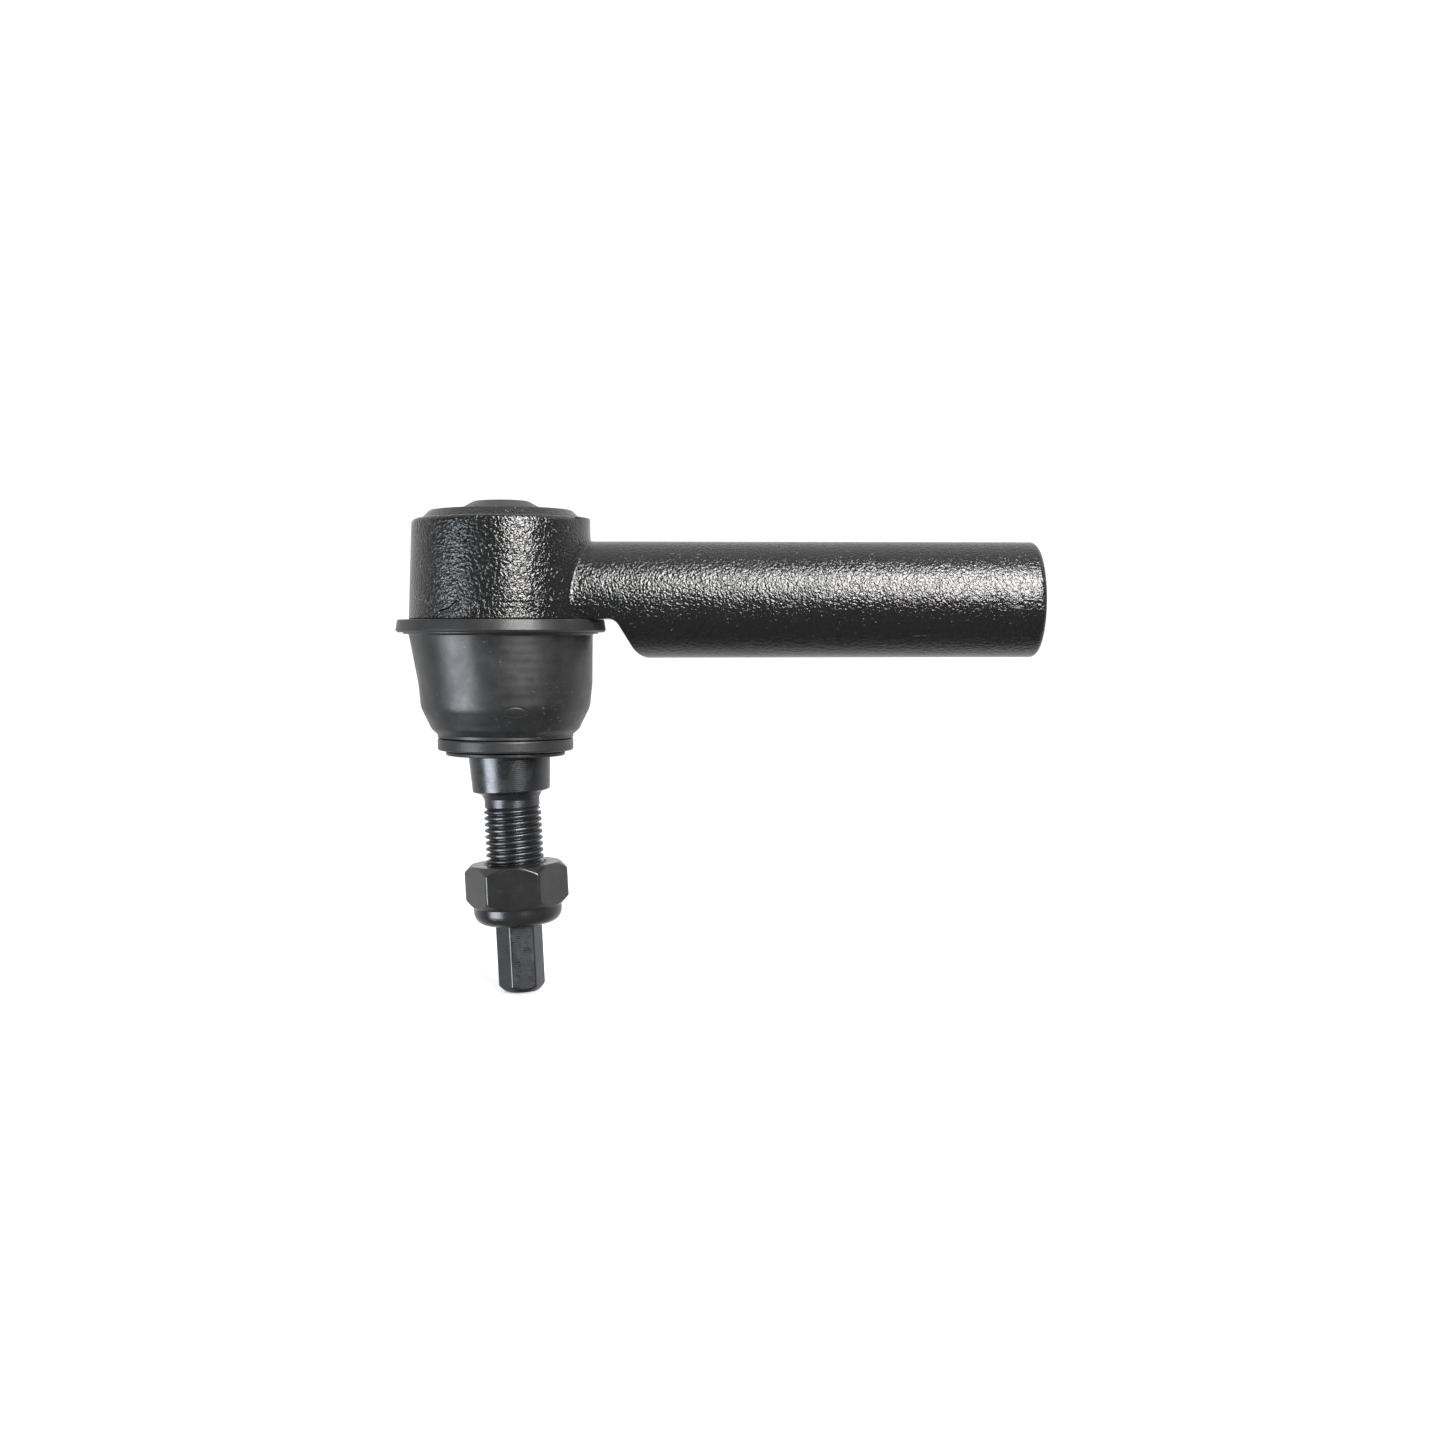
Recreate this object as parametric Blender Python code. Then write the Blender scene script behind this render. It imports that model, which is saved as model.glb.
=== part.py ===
"""Outer tie rod end: a forged housing with a threaded shank, its ball stud, seats, cover, boot and lock nut.

Metres, +Z up. The world's origin is the centre of the shank's threaded mouth, and the shank runs back
from it along -X. Two empties carry every piece: ball_centre, and stud_axis, which hangs from it and
leans with the stud. Heights are measured from the ball's centre, along +Z of the empty that holds them.
"""
import math

import bmesh
import bpy
from mathutils import Matrix

MM = 0.001
WELD = 1e-6             # points closer than this are one point
FIT = 0.3 * MM          # gap left between two pieces that touch
CUT = 2.0 * MM          # how far a cutter runs past the face that it opens

# How the stud stands and moves
LEAN = math.radians(3.15)       # at rest the stud hangs over towards the shank
TILT = math.radians(20.0)       # the most it swings each way about either axis
TILT_SPARE = math.radians(2.5)  # what the socket leaves beyond both swings together

# Ball and seats
BALL_R = 13.5 * MM
BALL_FLAT_R = 4.0 * MM
SEAT_WALL = 3.0 * MM
SEAT_CROWN = 2.3 * MM           # seat thickness over the ball's top
SEAT_LEAD = 0.8 * MM
GREASE_HOLE_R = 4.5 * MM
SEAT_SPLIT = 0.15 * MM          # half the gap between the two seats
NECK_R = 6.25 * MM

# Cover and preload spring
SPRING_T = 0.8 * MM
SPRING_CONE = 0.9 * MM          # how far the spring's inner edge stands above its outer edge
SPRING_HOLE_R = 8.0 * MM
SPRING_CLEAR = 1.6 * MM         # spring's outer edge to the housing's bore
PLATE_T = 1.8 * MM
PLATE_LEDGE = 0.9 * MM          # width of the shelf that the plate rests on
DOME_H = 4.1 * MM
DOME_TOP_R = 6.7 * MM
DOME_FOOT_R = 14.0 * MM
DOME_ROUND = 1.6 * MM

# Housing head
HEAD_WALL = 4.65 * MM           # bore to outside, at the top of the head
HEAD_DRAFT = math.radians(1.5)
HEAD_LOW = -4.8 * MM            # underside of the head, where the boot's ring seats
LIP_T = 1.4 * MM                # rolled lip's thickness over the plate
LIP_REACH = 1.8 * MM            # how far the rolled lip covers the plate
LIP_WALL = 1.2 * MM
LIP_SLOPE = 2.0 * MM            # run of the lip's sloping outside
SHOULDER_ROUND = 1.3 * MM
COLLAR_WALL = 2.4 * MM          # wall of the neck under the head, inside the boot
COLLAR_T = 3.1 * MM             # floor of the socket, under the lower seat
SMALL_ROUND = 0.4 * MM

# Shank
REACH = 130.2 * MM              # ball centre to the shank's end face
SHANK_R = 14.0 * MM             # at the end face
SHANK_DRAFT = 0.25 * MM         # how much its radius grows on the way to the head
SHANK_ROUND = 1.6 * MM
SHANK_ROOT = 8.0 * MM           # where the shank's blank starts, inside the head
ROD_BORE_R = 8.19 * MM          # minor radius of an M18 x 1.5 thread
ROD_BORE_DEPTH = 85.0 * MM
ROD_BORE_CHAMFER = 1.1 * MM
DRILL_POINT = math.radians(59)  # half angle of the bore's pointed end
RELIEF_GAP = 0.4 * MM           # shank's relieved underside to the head's underside
RELIEF_CLEAR = 2.15 * MM        # boot ring's edge to the start of the relief's slope
RELIEF_SLOPE = math.radians(58)
RELIEF_ROUND = 2.9 * MM
RELIEF_RUNOUT = 6.0 * MM
RELIEF_DEPTH = 0.05 * MM        # how far the relief's foot lies below the shank

# Boot and its rings
RING_SHEET = 1.1 * MM
RING_H = 2.9 * MM
RING_SEAT_W = 5.4 * MM          # width of the ring's flat top
RING_FLARE = 0.4 * MM
RING_BEVEL = 0.5 * MM
BOOT_WALL = 1.9 * MM
BOOT_FLANGE_T = 1.9 * MM
BOOT_NECK_INSET = 3.2 * MM      # ring's edge to the boot's wall below it
BOOT_DRAFT = 1.8 * MM           # how much the boot narrows down to its shoulder
BOOT_SHOULDER_H = 7.6 * MM      # foot ring's top to where the boot turns in
BOOT_SHOULDER_ROUND = 6.0 * MM
BOOT_TUCK_H = 2.3 * MM          # foot ring's top to where it turns in again
BOOT_TUCK_OUT = 1.5 * MM        # that corner's radius beyond the foot ring's
BOOT_FOOT_INSET = 0.6 * MM
FOOT_RING_H = 2.9 * MM
FOOT_RING_WALL = 3.6 * MM
BEAD_SPARE = 0.15 * MM          # seal to the bead's end
BEAD_WALL = 1.87 * MM           # rubber between the stud and the ring
FOOT_SHIFT = 1.15 * MM          # how far the level foot sits over towards the shank
FOOT_SHIFT_H = 12.0 * MM        # height of boot wall that takes up the shift
SEAL_OVER = 2.0 * MM            # foot ring's edge to the seal's edge
SEAL_H = 0.95 * MM

# Stud, as distances from the ball's centre
NECK_D = 16.0 * MM              # end of the straight neck
KNUCKLE_D = 38.1 * MM           # start of the exposed taper, at the seal's underside
FLARE_LEN = 8.1 * MM            # full cone above it, which the boot's foot seats on
FLARE_ROUND = 6.0 * MM
TAPER_R = 9.93 * MM             # taper's radius there
TAPER_RATE = 1 / 8              # change of diameter over length
TAPER_LEN = 8.4 * MM
TAPER_ROUND = 0.9 * MM
UNDERCUT_LEN = 3.8 * MM
UNDERCUT_STEP = 0.8 * MM
UNDERCUT_INSET = 0.3 * MM       # thread crest to the undercut

# Thread, M14 x 1.5, right handed
THREAD_R = 7.0 * MM
PITCH = 1.5 * MM
THREAD_DEPTH = 0.92 * MM
THREAD_LEN = 28.9 * MM
ROOT_FLAT = 1 / 4               # shares of the pitch
CREST_FLAT = 1 / 8
THREAD_FADE = 1.0 * MM

# Hexagonal driving end
DRIVE_FLATS = 10.0 * MM
DRIVE_LEN = 16.0 * MM
DRIVE_TIP = 1.5 * MM
DRIVE_TURN = math.radians(10.0)

# Lock nut
NUT_WALL = 4.0 * MM             # thread crest to the flats
NUT_BACK = 13.9 * MM            # thread's start to the nut's face at rest
NUT_HEX_H = 10.3 * MM
NUT_COLLAR_H = 4.3 * MM
NUT_FACE_INSET = 0.1 * MM       # flats to the round face
NUT_CORNER_DROP = 1.7 * MM
NUT_COLLAR_INSET = 0.25 * MM    # flats to the collar
NUT_COLLAR_ROUND = 3.2 * MM
NUT_LIP_T = 1.1 * MM
NUT_TURN = math.radians(-1.5)
INSERT_WALL = 1.4 * MM
INSERT_H = 2.9 * MM

# Facets
ROUND_BIG = 44
ROUND_MEDIUM = 32
ROUND_SMALL = 24
THREAD_STEPS = 16
FILLET_STEPS = 2

# Radii and heights that follow from the values above
SEAT_IN_R = BALL_R + FIT
SEAT_OUT_R = SEAT_IN_R + SEAT_WALL
HEAD_BORE_R = SEAT_OUT_R + FIT
SEAT_TOP = BALL_R + SEAT_CROWN
SPRING_LOW = SEAT_TOP + FIT
PLATE_LOW = SPRING_LOW + SPRING_T + SPRING_CONE + FIT
PLATE_TOP = PLATE_LOW + PLATE_T
PLATE_R = HEAD_BORE_R + PLATE_LEDGE
PLATE_BORE_R = PLATE_R + FIT
DOME_INSET = PLATE_T * math.tan(math.atan2(DOME_H, DOME_FOOT_R - DOME_TOP_R) / 2)
LIP_LOW = PLATE_TOP + FIT
LIP_TOP = LIP_LOW + LIP_T
LIP_FOOT_R = PLATE_BORE_R + LIP_WALL
SHOULDER = LIP_TOP - LIP_SLOPE
HEAD_TOP_R = HEAD_BORE_R + HEAD_WALL
HEAD_LOW_R = HEAD_TOP_R + (SHOULDER - HEAD_LOW) * math.tan(HEAD_DRAFT)

TILT_BOTH = math.acos(math.cos(TILT) ** 2)
MOUTH_ANGLE = math.asin(NECK_R / BALL_R) + TILT_BOTH + TILT_SPARE
SEAT_LOW = -SEAT_IN_R * math.cos(MOUTH_ANGLE)
SOCKET_FLOOR = SEAT_LOW - FIT
COLLAR_LOW = SOCKET_FLOOR - COLLAR_T
COLLAR_R = HEAD_BORE_R + COLLAR_WALL

RING_IN_R = COLLAR_R + FIT
RING_R = RING_IN_R + RING_SEAT_W + RING_FLARE
RING_TOP = HEAD_LOW - FIT
RING_LOW = RING_TOP - RING_H
BOOT_TOP = RING_TOP - RING_SHEET - FIT
BOOT_NECK_R = RING_R - BOOT_NECK_INSET

SEAL_LOW_D = KNUCKLE_D - FIT
FOOT_LOW_D = SEAL_LOW_D - SEAL_H - FIT
FOOT_TOP_D = FOOT_LOW_D - FOOT_RING_H
BEAD_IN_R = TAPER_R + FLARE_LEN * TAPER_RATE / 2 + FIT
FOOT_RING_IN_R = BEAD_IN_R + BEAD_WALL + FIT
FOOT_RING_R = FOOT_RING_IN_R + FOOT_RING_WALL
TAPER_D = KNUCKLE_D + TAPER_LEN
THREAD_D = TAPER_D + UNDERCUT_LEN
DRIVE_D = THREAD_D + THREAD_LEN
END_D = DRIVE_D + DRIVE_LEN
ROOT_R = THREAD_R - THREAD_DEPTH
UNDERCUT_R = THREAD_R - UNDERCUT_INSET

NUT_FLATS = 2 * (THREAD_R + NUT_WALL)
NUT_FACE_R = NUT_FLATS / 2 - NUT_FACE_INSET
NUT_COLLAR_R = NUT_FLATS / 2 - NUT_COLLAR_INSET
NUT_TOP_D = THREAD_D + NUT_BACK
NUT_COLLAR_D = NUT_TOP_D + NUT_HEX_H
NUT_LOW_D = NUT_COLLAR_D + NUT_COLLAR_H
INSERT_LOW_D = NUT_LOW_D - NUT_LIP_T - FIT
INSERT_TOP_D = INSERT_LOW_D - INSERT_H
INSERT_BORE_R = THREAD_R + FIT


def stud_radius(distance):
    """The stud's cone, which the boot's foot seats on and the taper is the end of."""
    return TAPER_R + (KNUCKLE_D - distance) * TAPER_RATE / 2


def clear_scene():
    for thing in list(bpy.data.objects):
        bpy.data.objects.remove(thing)


def finish(name, colour, roughness, metallic):
    """One plain material: its base colour, roughness and metallic value."""
    material = bpy.data.materials.new(name)
    material.use_nodes = True
    shader = material.node_tree.nodes["Principled BSDF"]
    shader.inputs["Base Color"].default_value = (*colour, 1.0)
    shader.inputs["Roughness"].default_value = roughness
    shader.inputs["Metallic"].default_value = metallic
    return material


def empty(name, parent=None, place=(0.0, 0.0, 0.0), turn=(0.0, 0.0, 0.0)):
    holder = bpy.data.objects.new(name, None)
    bpy.context.scene.collection.objects.link(holder)
    holder.parent = parent
    holder.location = place
    holder.rotation_euler = turn
    return holder


def mesh_object(name, bm, parent, material=None):
    """An object for a finished bmesh. Without a material it is a cutter or a blank, and stays hidden."""
    bmesh.ops.recalc_face_normals(bm, faces=bm.faces)
    mesh = bpy.data.meshes.new(name)
    bm.to_mesh(mesh)
    bm.free()
    mesh.shade_smooth()
    mesh.set_sharp_from_angle(angle=math.radians(30))
    piece = bpy.data.objects.new(name, mesh)
    bpy.context.scene.collection.objects.link(piece)
    piece.parent = parent
    if material:
        mesh.materials.append(material)
    else:
        piece.hide_render = True
        piece.display_type = "WIRE"
    return piece


def combine(piece, operation, other):
    """Boolean of one object with another, left as a modifier."""
    step = piece.modifiers.new(operation.lower() + "_" + other.name, "BOOLEAN")
    step.operation = operation
    step.object = other


def arc(centre, radius, start, end, steps):
    """Points on an arc in the profile's plane; angles in radians from the +radius direction."""
    points = []
    for step in range(steps + 1):
        angle = start + (end - start) * step / steps
        points.append((centre[0] + radius * math.cos(angle), centre[1] + radius * math.sin(angle)))
    return points


def outline(*corners, steps=FILLET_STEPS):
    """Profile points from corners given as (radius, height) or (radius, height, fillet radius)."""
    points = []
    for index, corner in enumerate(corners):
        here = complex(corner[0], corner[1])
        if len(corner) == 2:
            points.append((here.real, here.imag))
            continue
        before = complex(*corners[index - 1][:2]) - here
        after = complex(*corners[(index + 1) % len(corners)][:2]) - here
        before /= abs(before)
        after /= abs(after)
        half = math.acos(max(-1.0, min(1.0, (before * after.conjugate()).real))) / 2
        middle = (before + after) / abs(before + after)
        centre = here + middle * corner[2] / math.sin(half)
        start = here + before * corner[2] / math.tan(half) - centre
        sweep = (here + after * corner[2] / math.tan(half) - centre) / start
        for step in range(steps + 1):
            turn = math.atan2(sweep.imag, sweep.real) * step / steps
            point = centre + start * complex(math.cos(turn), math.sin(turn))
            points.append((point.real, point.imag))
    return points


def turned(profile, segments, ring=False):
    """A profile spun about Z. A ring's profile closes on itself; any other runs from axis to axis."""
    bm = bmesh.new()
    verts = [bm.verts.new((radius, 0.0, height)) for radius, height in profile]
    ends = verts[1:] + verts[:1] if ring else verts[1:]
    edges = [bm.edges.new(pair) for pair in zip(verts, ends)]
    bmesh.ops.spin(bm, geom=verts + edges, cent=(0, 0, 0), axis=(0, 0, 1), angle=math.tau,
                   steps=segments, use_merge=True)
    bmesh.ops.remove_doubles(bm, verts=bm.verts, dist=WELD)
    return bm


def prism(points, thickness):
    """An outline in the XZ plane, given thickness along Y, half to each side."""
    bm = bmesh.new()
    face = bm.faces.new([bm.verts.new((x, -thickness / 2, z)) for x, z in points])
    grown = bmesh.ops.extrude_face_region(bm, geom=[face])
    moved = [item for item in grown["geom"] if isinstance(item, bmesh.types.BMVert)]
    bmesh.ops.translate(bm, verts=moved, vec=(0, thickness, 0))
    return bm


def hexagon(flats, low, high, turn):
    """A hexagonal prism along Z, with a flat facing -Y before it is turned."""
    bm = bmesh.new()
    corner = flats / 2 / math.cos(math.radians(30))
    place = Matrix.Translation((0, 0, (low + high) / 2)) @ Matrix.Rotation(turn, 4, "Z")
    bmesh.ops.create_cone(bm, cap_ends=True, segments=6, radius1=corner, radius2=corner,
                          depth=high - low, matrix=place @ Matrix.Rotation(math.radians(30), 4, "Z"))
    return bm


def thread(low, high, root, crest, fade, steps=THREAD_STEPS):
    """A threaded rod from low to high along Z. Rods of one pitch are in phase wherever they start."""
    bm = bmesh.new()
    flank = (1 - ROOT_FLAT - CREST_FLAT) / 2
    shape = ((0.0, 0.0), (ROOT_FLAT, 0.0), (ROOT_FLAT + flank, 1.0), (1 - flank, 1.0))
    points = len(shape)
    first = math.ceil(low / PITCH + ROOT_FLAT) * PITCH
    rows = points * (math.floor((high - first) / PITCH - ROOT_FLAT) - 1)

    def vertex(column, row):
        share, height = shape[row % points]
        z = first + PITCH * (column / steps + row // points + share)
        grown = max(0.0, min(1.0, (z - low) / fade, (high - z) / fade))
        radius = root + (crest - root) * height * grown
        angle = math.tau * column / steps
        return bm.verts.new((radius * math.cos(angle), radius * math.sin(angle), z))

    def rim(z):
        angles = [math.tau * column / steps for column in range(steps)]
        return [bm.verts.new((root * math.cos(a), root * math.sin(a), z)) for a in angles]

    def fan(corner, chain):
        for pair in zip(chain, chain[1:]):
            bm.faces.new((corner, *pair))

    columns = [[vertex(column, row) for row in range(rows + 1)] for column in range(steps)]
    columns[0] += [vertex(0, row) for row in range(rows + 1, rows + points + 1)]
    columns.append(columns[0][points:])
    for here, there in zip(columns, columns[1:]):
        for row in range(rows):
            bm.faces.new((here[row], there[row], there[row + 1], here[row + 1]))

    bottom, top = rim(low), rim(high)
    bm.faces.new(bottom[::-1])
    bm.faces.new(top)
    last = steps - 1
    for column in range(last):
        bm.faces.new((bottom[column], bottom[column + 1], columns[column + 1][0], columns[column][0]))
    fan(columns[last][0], [bottom[last], bottom[0], *columns[0][:points + 1]])
    for column in range(1, steps):
        edge = (top[(column + 1) % steps], top[column])
        bm.faces.new((columns[column][rows], columns[column + 1][rows], *edge))
    fan(columns[1][rows], [top[1], top[0], *columns[0][:rows - 1:-1]])
    return bm


def make_housing(parent):
    """Forging: a drafted head with a stepped bore, and a shank with a blind threaded bore."""
    head = outline(
        (0.0, LIP_TOP),
        (LIP_FOOT_R - LIP_SLOPE, LIP_TOP, SMALL_ROUND),
        (LIP_FOOT_R, SHOULDER),
        (HEAD_TOP_R, SHOULDER, SHOULDER_ROUND),
        (HEAD_LOW_R, HEAD_LOW, SMALL_ROUND),
        (COLLAR_R, HEAD_LOW),
        (COLLAR_R, COLLAR_LOW, SMALL_ROUND),
        (0.0, COLLAR_LOW),
    )
    black_paint = finish("black_paint", (0.012, 0.012, 0.011), 0.22, 0.0)
    housing = mesh_object("housing", turned(head, ROUND_BIG), parent, black_paint)
    combine(housing, "UNION", make_shank(parent))
    combine(housing, "DIFFERENCE", make_head_bore(parent))
    combine(housing, "DIFFERENCE", make_rod_bore(parent))


def make_shank(parent):
    shank = outline(
        (0.0, REACH),
        (SHANK_R, REACH, SHANK_ROUND),
        (SHANK_R + SHANK_DRAFT, SHANK_ROOT),
        (0.0, SHANK_ROOT),
    )
    blank = mesh_object("shank_blank", turned(shank, ROUND_MEDIUM), parent)
    blank.rotation_euler = (0.0, math.radians(90), 0.0)
    combine(blank, "DIFFERENCE", make_relief(parent))
    return blank


def make_relief(parent):
    """Cuts the shank's underside away beside the head, so that the boot and its ring have room."""
    top = HEAD_LOW + RELIEF_GAP
    foot = -(SHANK_R + SHANK_DRAFT + RELIEF_DEPTH)
    start = RING_R + RELIEF_CLEAR
    end = start + (top - foot) / math.tan(RELIEF_SLOPE)
    side = outline(
        (0.0, top),
        (start, top, RELIEF_ROUND),
        (end, foot, RELIEF_RUNOUT),
        (end + SHANK_R, foot),
        (end + SHANK_R, foot - CUT),
        (0.0, foot - CUT),
        steps=2 * FILLET_STEPS,
    )
    return mesh_object("shank_relief", prism(side, 3 * SHANK_R), parent)


def make_head_bore(parent):
    mouth_angle = MOUTH_ANGLE + TILT_SPARE
    mouth_r = SEAT_IN_R * math.sin(mouth_angle)
    spread = math.tan(TILT_BOTH + TILT_SPARE)
    bore = outline(
        (0.0, LIP_TOP + CUT),
        (PLATE_R - LIP_REACH, LIP_TOP + CUT),
        (PLATE_R - LIP_REACH, LIP_LOW),
        (PLATE_BORE_R, LIP_LOW),
        (PLATE_BORE_R, PLATE_LOW - FIT),
        (HEAD_BORE_R, PLATE_LOW - FIT),
        (HEAD_BORE_R, SOCKET_FLOOR),
        (mouth_r, SOCKET_FLOOR),
        (mouth_r + (COLLAR_T + CUT) * spread, COLLAR_LOW - CUT),
        (0.0, COLLAR_LOW - CUT),
    )
    return mesh_object("head_bore", turned(bore, ROUND_BIG), parent)


def make_rod_bore(parent):
    """The tie rod's hole: the thread's minor radius, with a chamfered mouth and a drill's pointed end."""
    mouth_r = ROD_BORE_R + ROD_BORE_CHAMFER + CUT
    floor = REACH - ROD_BORE_DEPTH
    bore = [
        (0.0, REACH + CUT),
        (mouth_r, REACH + CUT),
        (ROD_BORE_R, REACH - ROD_BORE_CHAMFER),
        (ROD_BORE_R, floor),
        (0.0, floor - ROD_BORE_R / math.tan(DRILL_POINT)),
    ]
    cutter = mesh_object("rod_bore", turned(bore, ROUND_SMALL), parent)
    cutter.rotation_euler = (0.0, math.radians(90), 0.0)
    return cutter


def make_seats(parent):
    """Two plastic half cups round the ball, split just off its equator."""
    split = math.asin(SEAT_SPLIT / SEAT_IN_R)
    hole = math.acos(GREASE_HOLE_R / SEAT_IN_R)
    upper = arc((0.0, 0.0), SEAT_IN_R, hole, split, 3 * FILLET_STEPS)
    upper += [
        (SEAT_OUT_R, SEAT_SPLIT),
        (SEAT_OUT_R, SEAT_TOP - SEAT_LEAD),
        (SEAT_OUT_R - SEAT_LEAD, SEAT_TOP),
        (GREASE_HOLE_R, SEAT_TOP),
    ]
    mouth = math.asin(SEAT_LOW / SEAT_IN_R)
    lower = arc((0.0, 0.0), SEAT_IN_R, -split, mouth, FILLET_STEPS)
    lower += [
        (SEAT_OUT_R, SEAT_LOW),
        (SEAT_OUT_R, -SEAT_SPLIT),
    ]
    white_acetal = finish("white_acetal", (0.78, 0.77, 0.72), 0.4, 0.0)
    mesh_object("upper_ball_seat", turned(upper, ROUND_MEDIUM, ring=True), parent, white_acetal)
    mesh_object("lower_ball_seat", turned(lower, ROUND_MEDIUM, ring=True), parent, white_acetal)


def make_spring(parent):
    """Conical spring washer, pressed flat between the cover and the upper seat."""
    outer_r = HEAD_BORE_R - SPRING_CLEAR
    washer = [
        (SPRING_HOLE_R, SPRING_LOW + SPRING_CONE),
        (outer_r, SPRING_LOW),
        (outer_r, SPRING_LOW + SPRING_T),
        (SPRING_HOLE_R, SPRING_LOW + SPRING_CONE + SPRING_T),
    ]
    spring_steel = finish("spring_steel", (0.3, 0.29, 0.28), 0.35, 1.0)
    mesh_object("preload_spring", turned(washer, ROUND_MEDIUM, ring=True), parent, spring_steel)


def make_cover(parent):
    """Pressed plate with a dome, held by the housing's rolled lip."""
    plate = outline(
        (0.0, PLATE_TOP + DOME_H),
        (DOME_TOP_R, PLATE_TOP + DOME_H, DOME_ROUND),
        (DOME_FOOT_R, PLATE_TOP, DOME_ROUND),
        (PLATE_R, PLATE_TOP),
        (PLATE_R, PLATE_LOW),
        (DOME_FOOT_R - DOME_INSET, PLATE_LOW),
        (DOME_TOP_R - DOME_INSET, PLATE_LOW + DOME_H),
        (0.0, PLATE_LOW + DOME_H),
    )
    painted_plate = finish("painted_plate", (0.03, 0.03, 0.029), 0.38, 0.0)
    mesh_object("cover_plate", turned(plate, ROUND_MEDIUM), parent, painted_plate)


def make_top_ring(parent):
    """Pressed steel ring on the housing's neck, which holds the boot's flange up against the head."""
    rim_r = RING_R - RING_SHEET
    section = [
        (RING_IN_R, RING_TOP),
        (RING_R - RING_FLARE, RING_TOP),
        (RING_R, RING_LOW + RING_BEVEL),
        (RING_R - RING_BEVEL, RING_LOW),
        (rim_r, RING_LOW),
        (rim_r - RING_FLARE, RING_TOP - RING_SHEET),
        (RING_IN_R, RING_TOP - RING_SHEET),
    ]
    painted_ring = finish("painted_ring", (0.05, 0.05, 0.05), 0.4, 0.3)
    mesh_object("boot_upper_ring", turned(section, ROUND_BIG, ring=True), parent, painted_ring)


def make_boot(parent):
    """Rubber bellows cup: its flange stays with the housing, and its level foot is over the leaning stud."""
    flange_r = RING_R - RING_SHEET - RING_FLARE - FIT
    flange_low = BOOT_TOP - BOOT_FLANGE_T
    shoulder = (BOOT_NECK_R - BOOT_DRAFT, BOOT_SHOULDER_H - FOOT_TOP_D)
    tuck = (FOOT_RING_R + BOOT_TUCK_OUT, BOOT_TUCK_H - FOOT_TOP_D)
    foot = (FOOT_RING_R - BOOT_FOOT_INSET, FIT - FOOT_TOP_D)
    bead_out_r = BEAD_IN_R + BEAD_WALL
    bead_low = BEAD_SPARE - FOOT_LOW_D
    profile = outline(
        (RING_IN_R, BOOT_TOP),
        (flange_r, BOOT_TOP),
        (flange_r, flange_low, SMALL_ROUND),
        (BOOT_NECK_R, flange_low, SMALL_ROUND),
        (*shoulder, BOOT_SHOULDER_ROUND),
        (*tuck, BOOT_WALL),
        foot,
        (bead_out_r, foot[1]),
        (bead_out_r, bead_low),
        (BEAD_IN_R, bead_low),
        (BEAD_IN_R, foot[1] + BOOT_WALL),
        (foot[0] - BOOT_WALL, foot[1] + BOOT_WALL),
        (tuck[0] - BOOT_WALL, tuck[1] + BOOT_WALL / 2),
        (shoulder[0] - BOOT_WALL, shoulder[1], BOOT_SHOULDER_ROUND - BOOT_WALL),
        (BOOT_NECK_R - BOOT_WALL, flange_low),
        (RING_IN_R, flange_low + BOOT_WALL / 2),
    )
    bm = turned(profile, ROUND_MEDIUM, ring=True)
    shift_over(bm, BEAD_IN_R, flange_low)
    boot_rubber = finish("boot_rubber", (0.025, 0.027, 0.03), 0.5, 0.0)
    mesh_object("dust_boot", bm, parent, boot_rubber)


def shift_over(bm, bore_r, top):
    """Slides a level piece round the stud over to the foot's place, and its bore over to the leaning stud."""
    for vert in bm.verts:
        if math.hypot(vert.co.x, vert.co.y) < bore_r + WELD:
            vert.co.x -= vert.co.z * math.tan(LEAN)
        else:
            share = max(0.0, min(1.0, (top - vert.co.z) / FOOT_SHIFT_H))
            vert.co.x += FOOT_SHIFT * share


def make_foot(parent):
    """Steel ring round the boot's bead, and the rubber seal that bears on the steering knuckle."""
    section = outline(
        (FOOT_RING_IN_R, -FOOT_TOP_D),
        (FOOT_RING_R, -FOOT_TOP_D),
        (FOOT_RING_R, -FOOT_LOW_D, SMALL_ROUND),
        (FOOT_RING_IN_R, -FOOT_LOW_D),
    )
    dark_ring = finish("dark_ring", (0.03, 0.03, 0.03), 0.45, 0.2)
    ring = turned(section, ROUND_MEDIUM, ring=True)
    shift_over(ring, 0.0, 0.0)
    mesh_object("boot_lower_ring", ring, parent, dark_ring)
    seal_out_r = FOOT_RING_R - SEAL_OVER
    seal_in_r = stud_radius(FOOT_LOW_D) + FIT
    seal = [
        (seal_in_r, -FOOT_LOW_D - FIT),
        (seal_out_r, -FOOT_LOW_D - FIT),
        (seal_out_r, -SEAL_LOW_D),
        (seal_in_r, -SEAL_LOW_D),
    ]
    seal_rubber = finish("seal_rubber", (0.02, 0.02, 0.02), 0.55, 0.0)
    lip = turned(seal, ROUND_MEDIUM, ring=True)
    shift_over(lip, seal_in_r, 0.0)
    mesh_object("stud_seal", lip, parent, seal_rubber)


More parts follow.
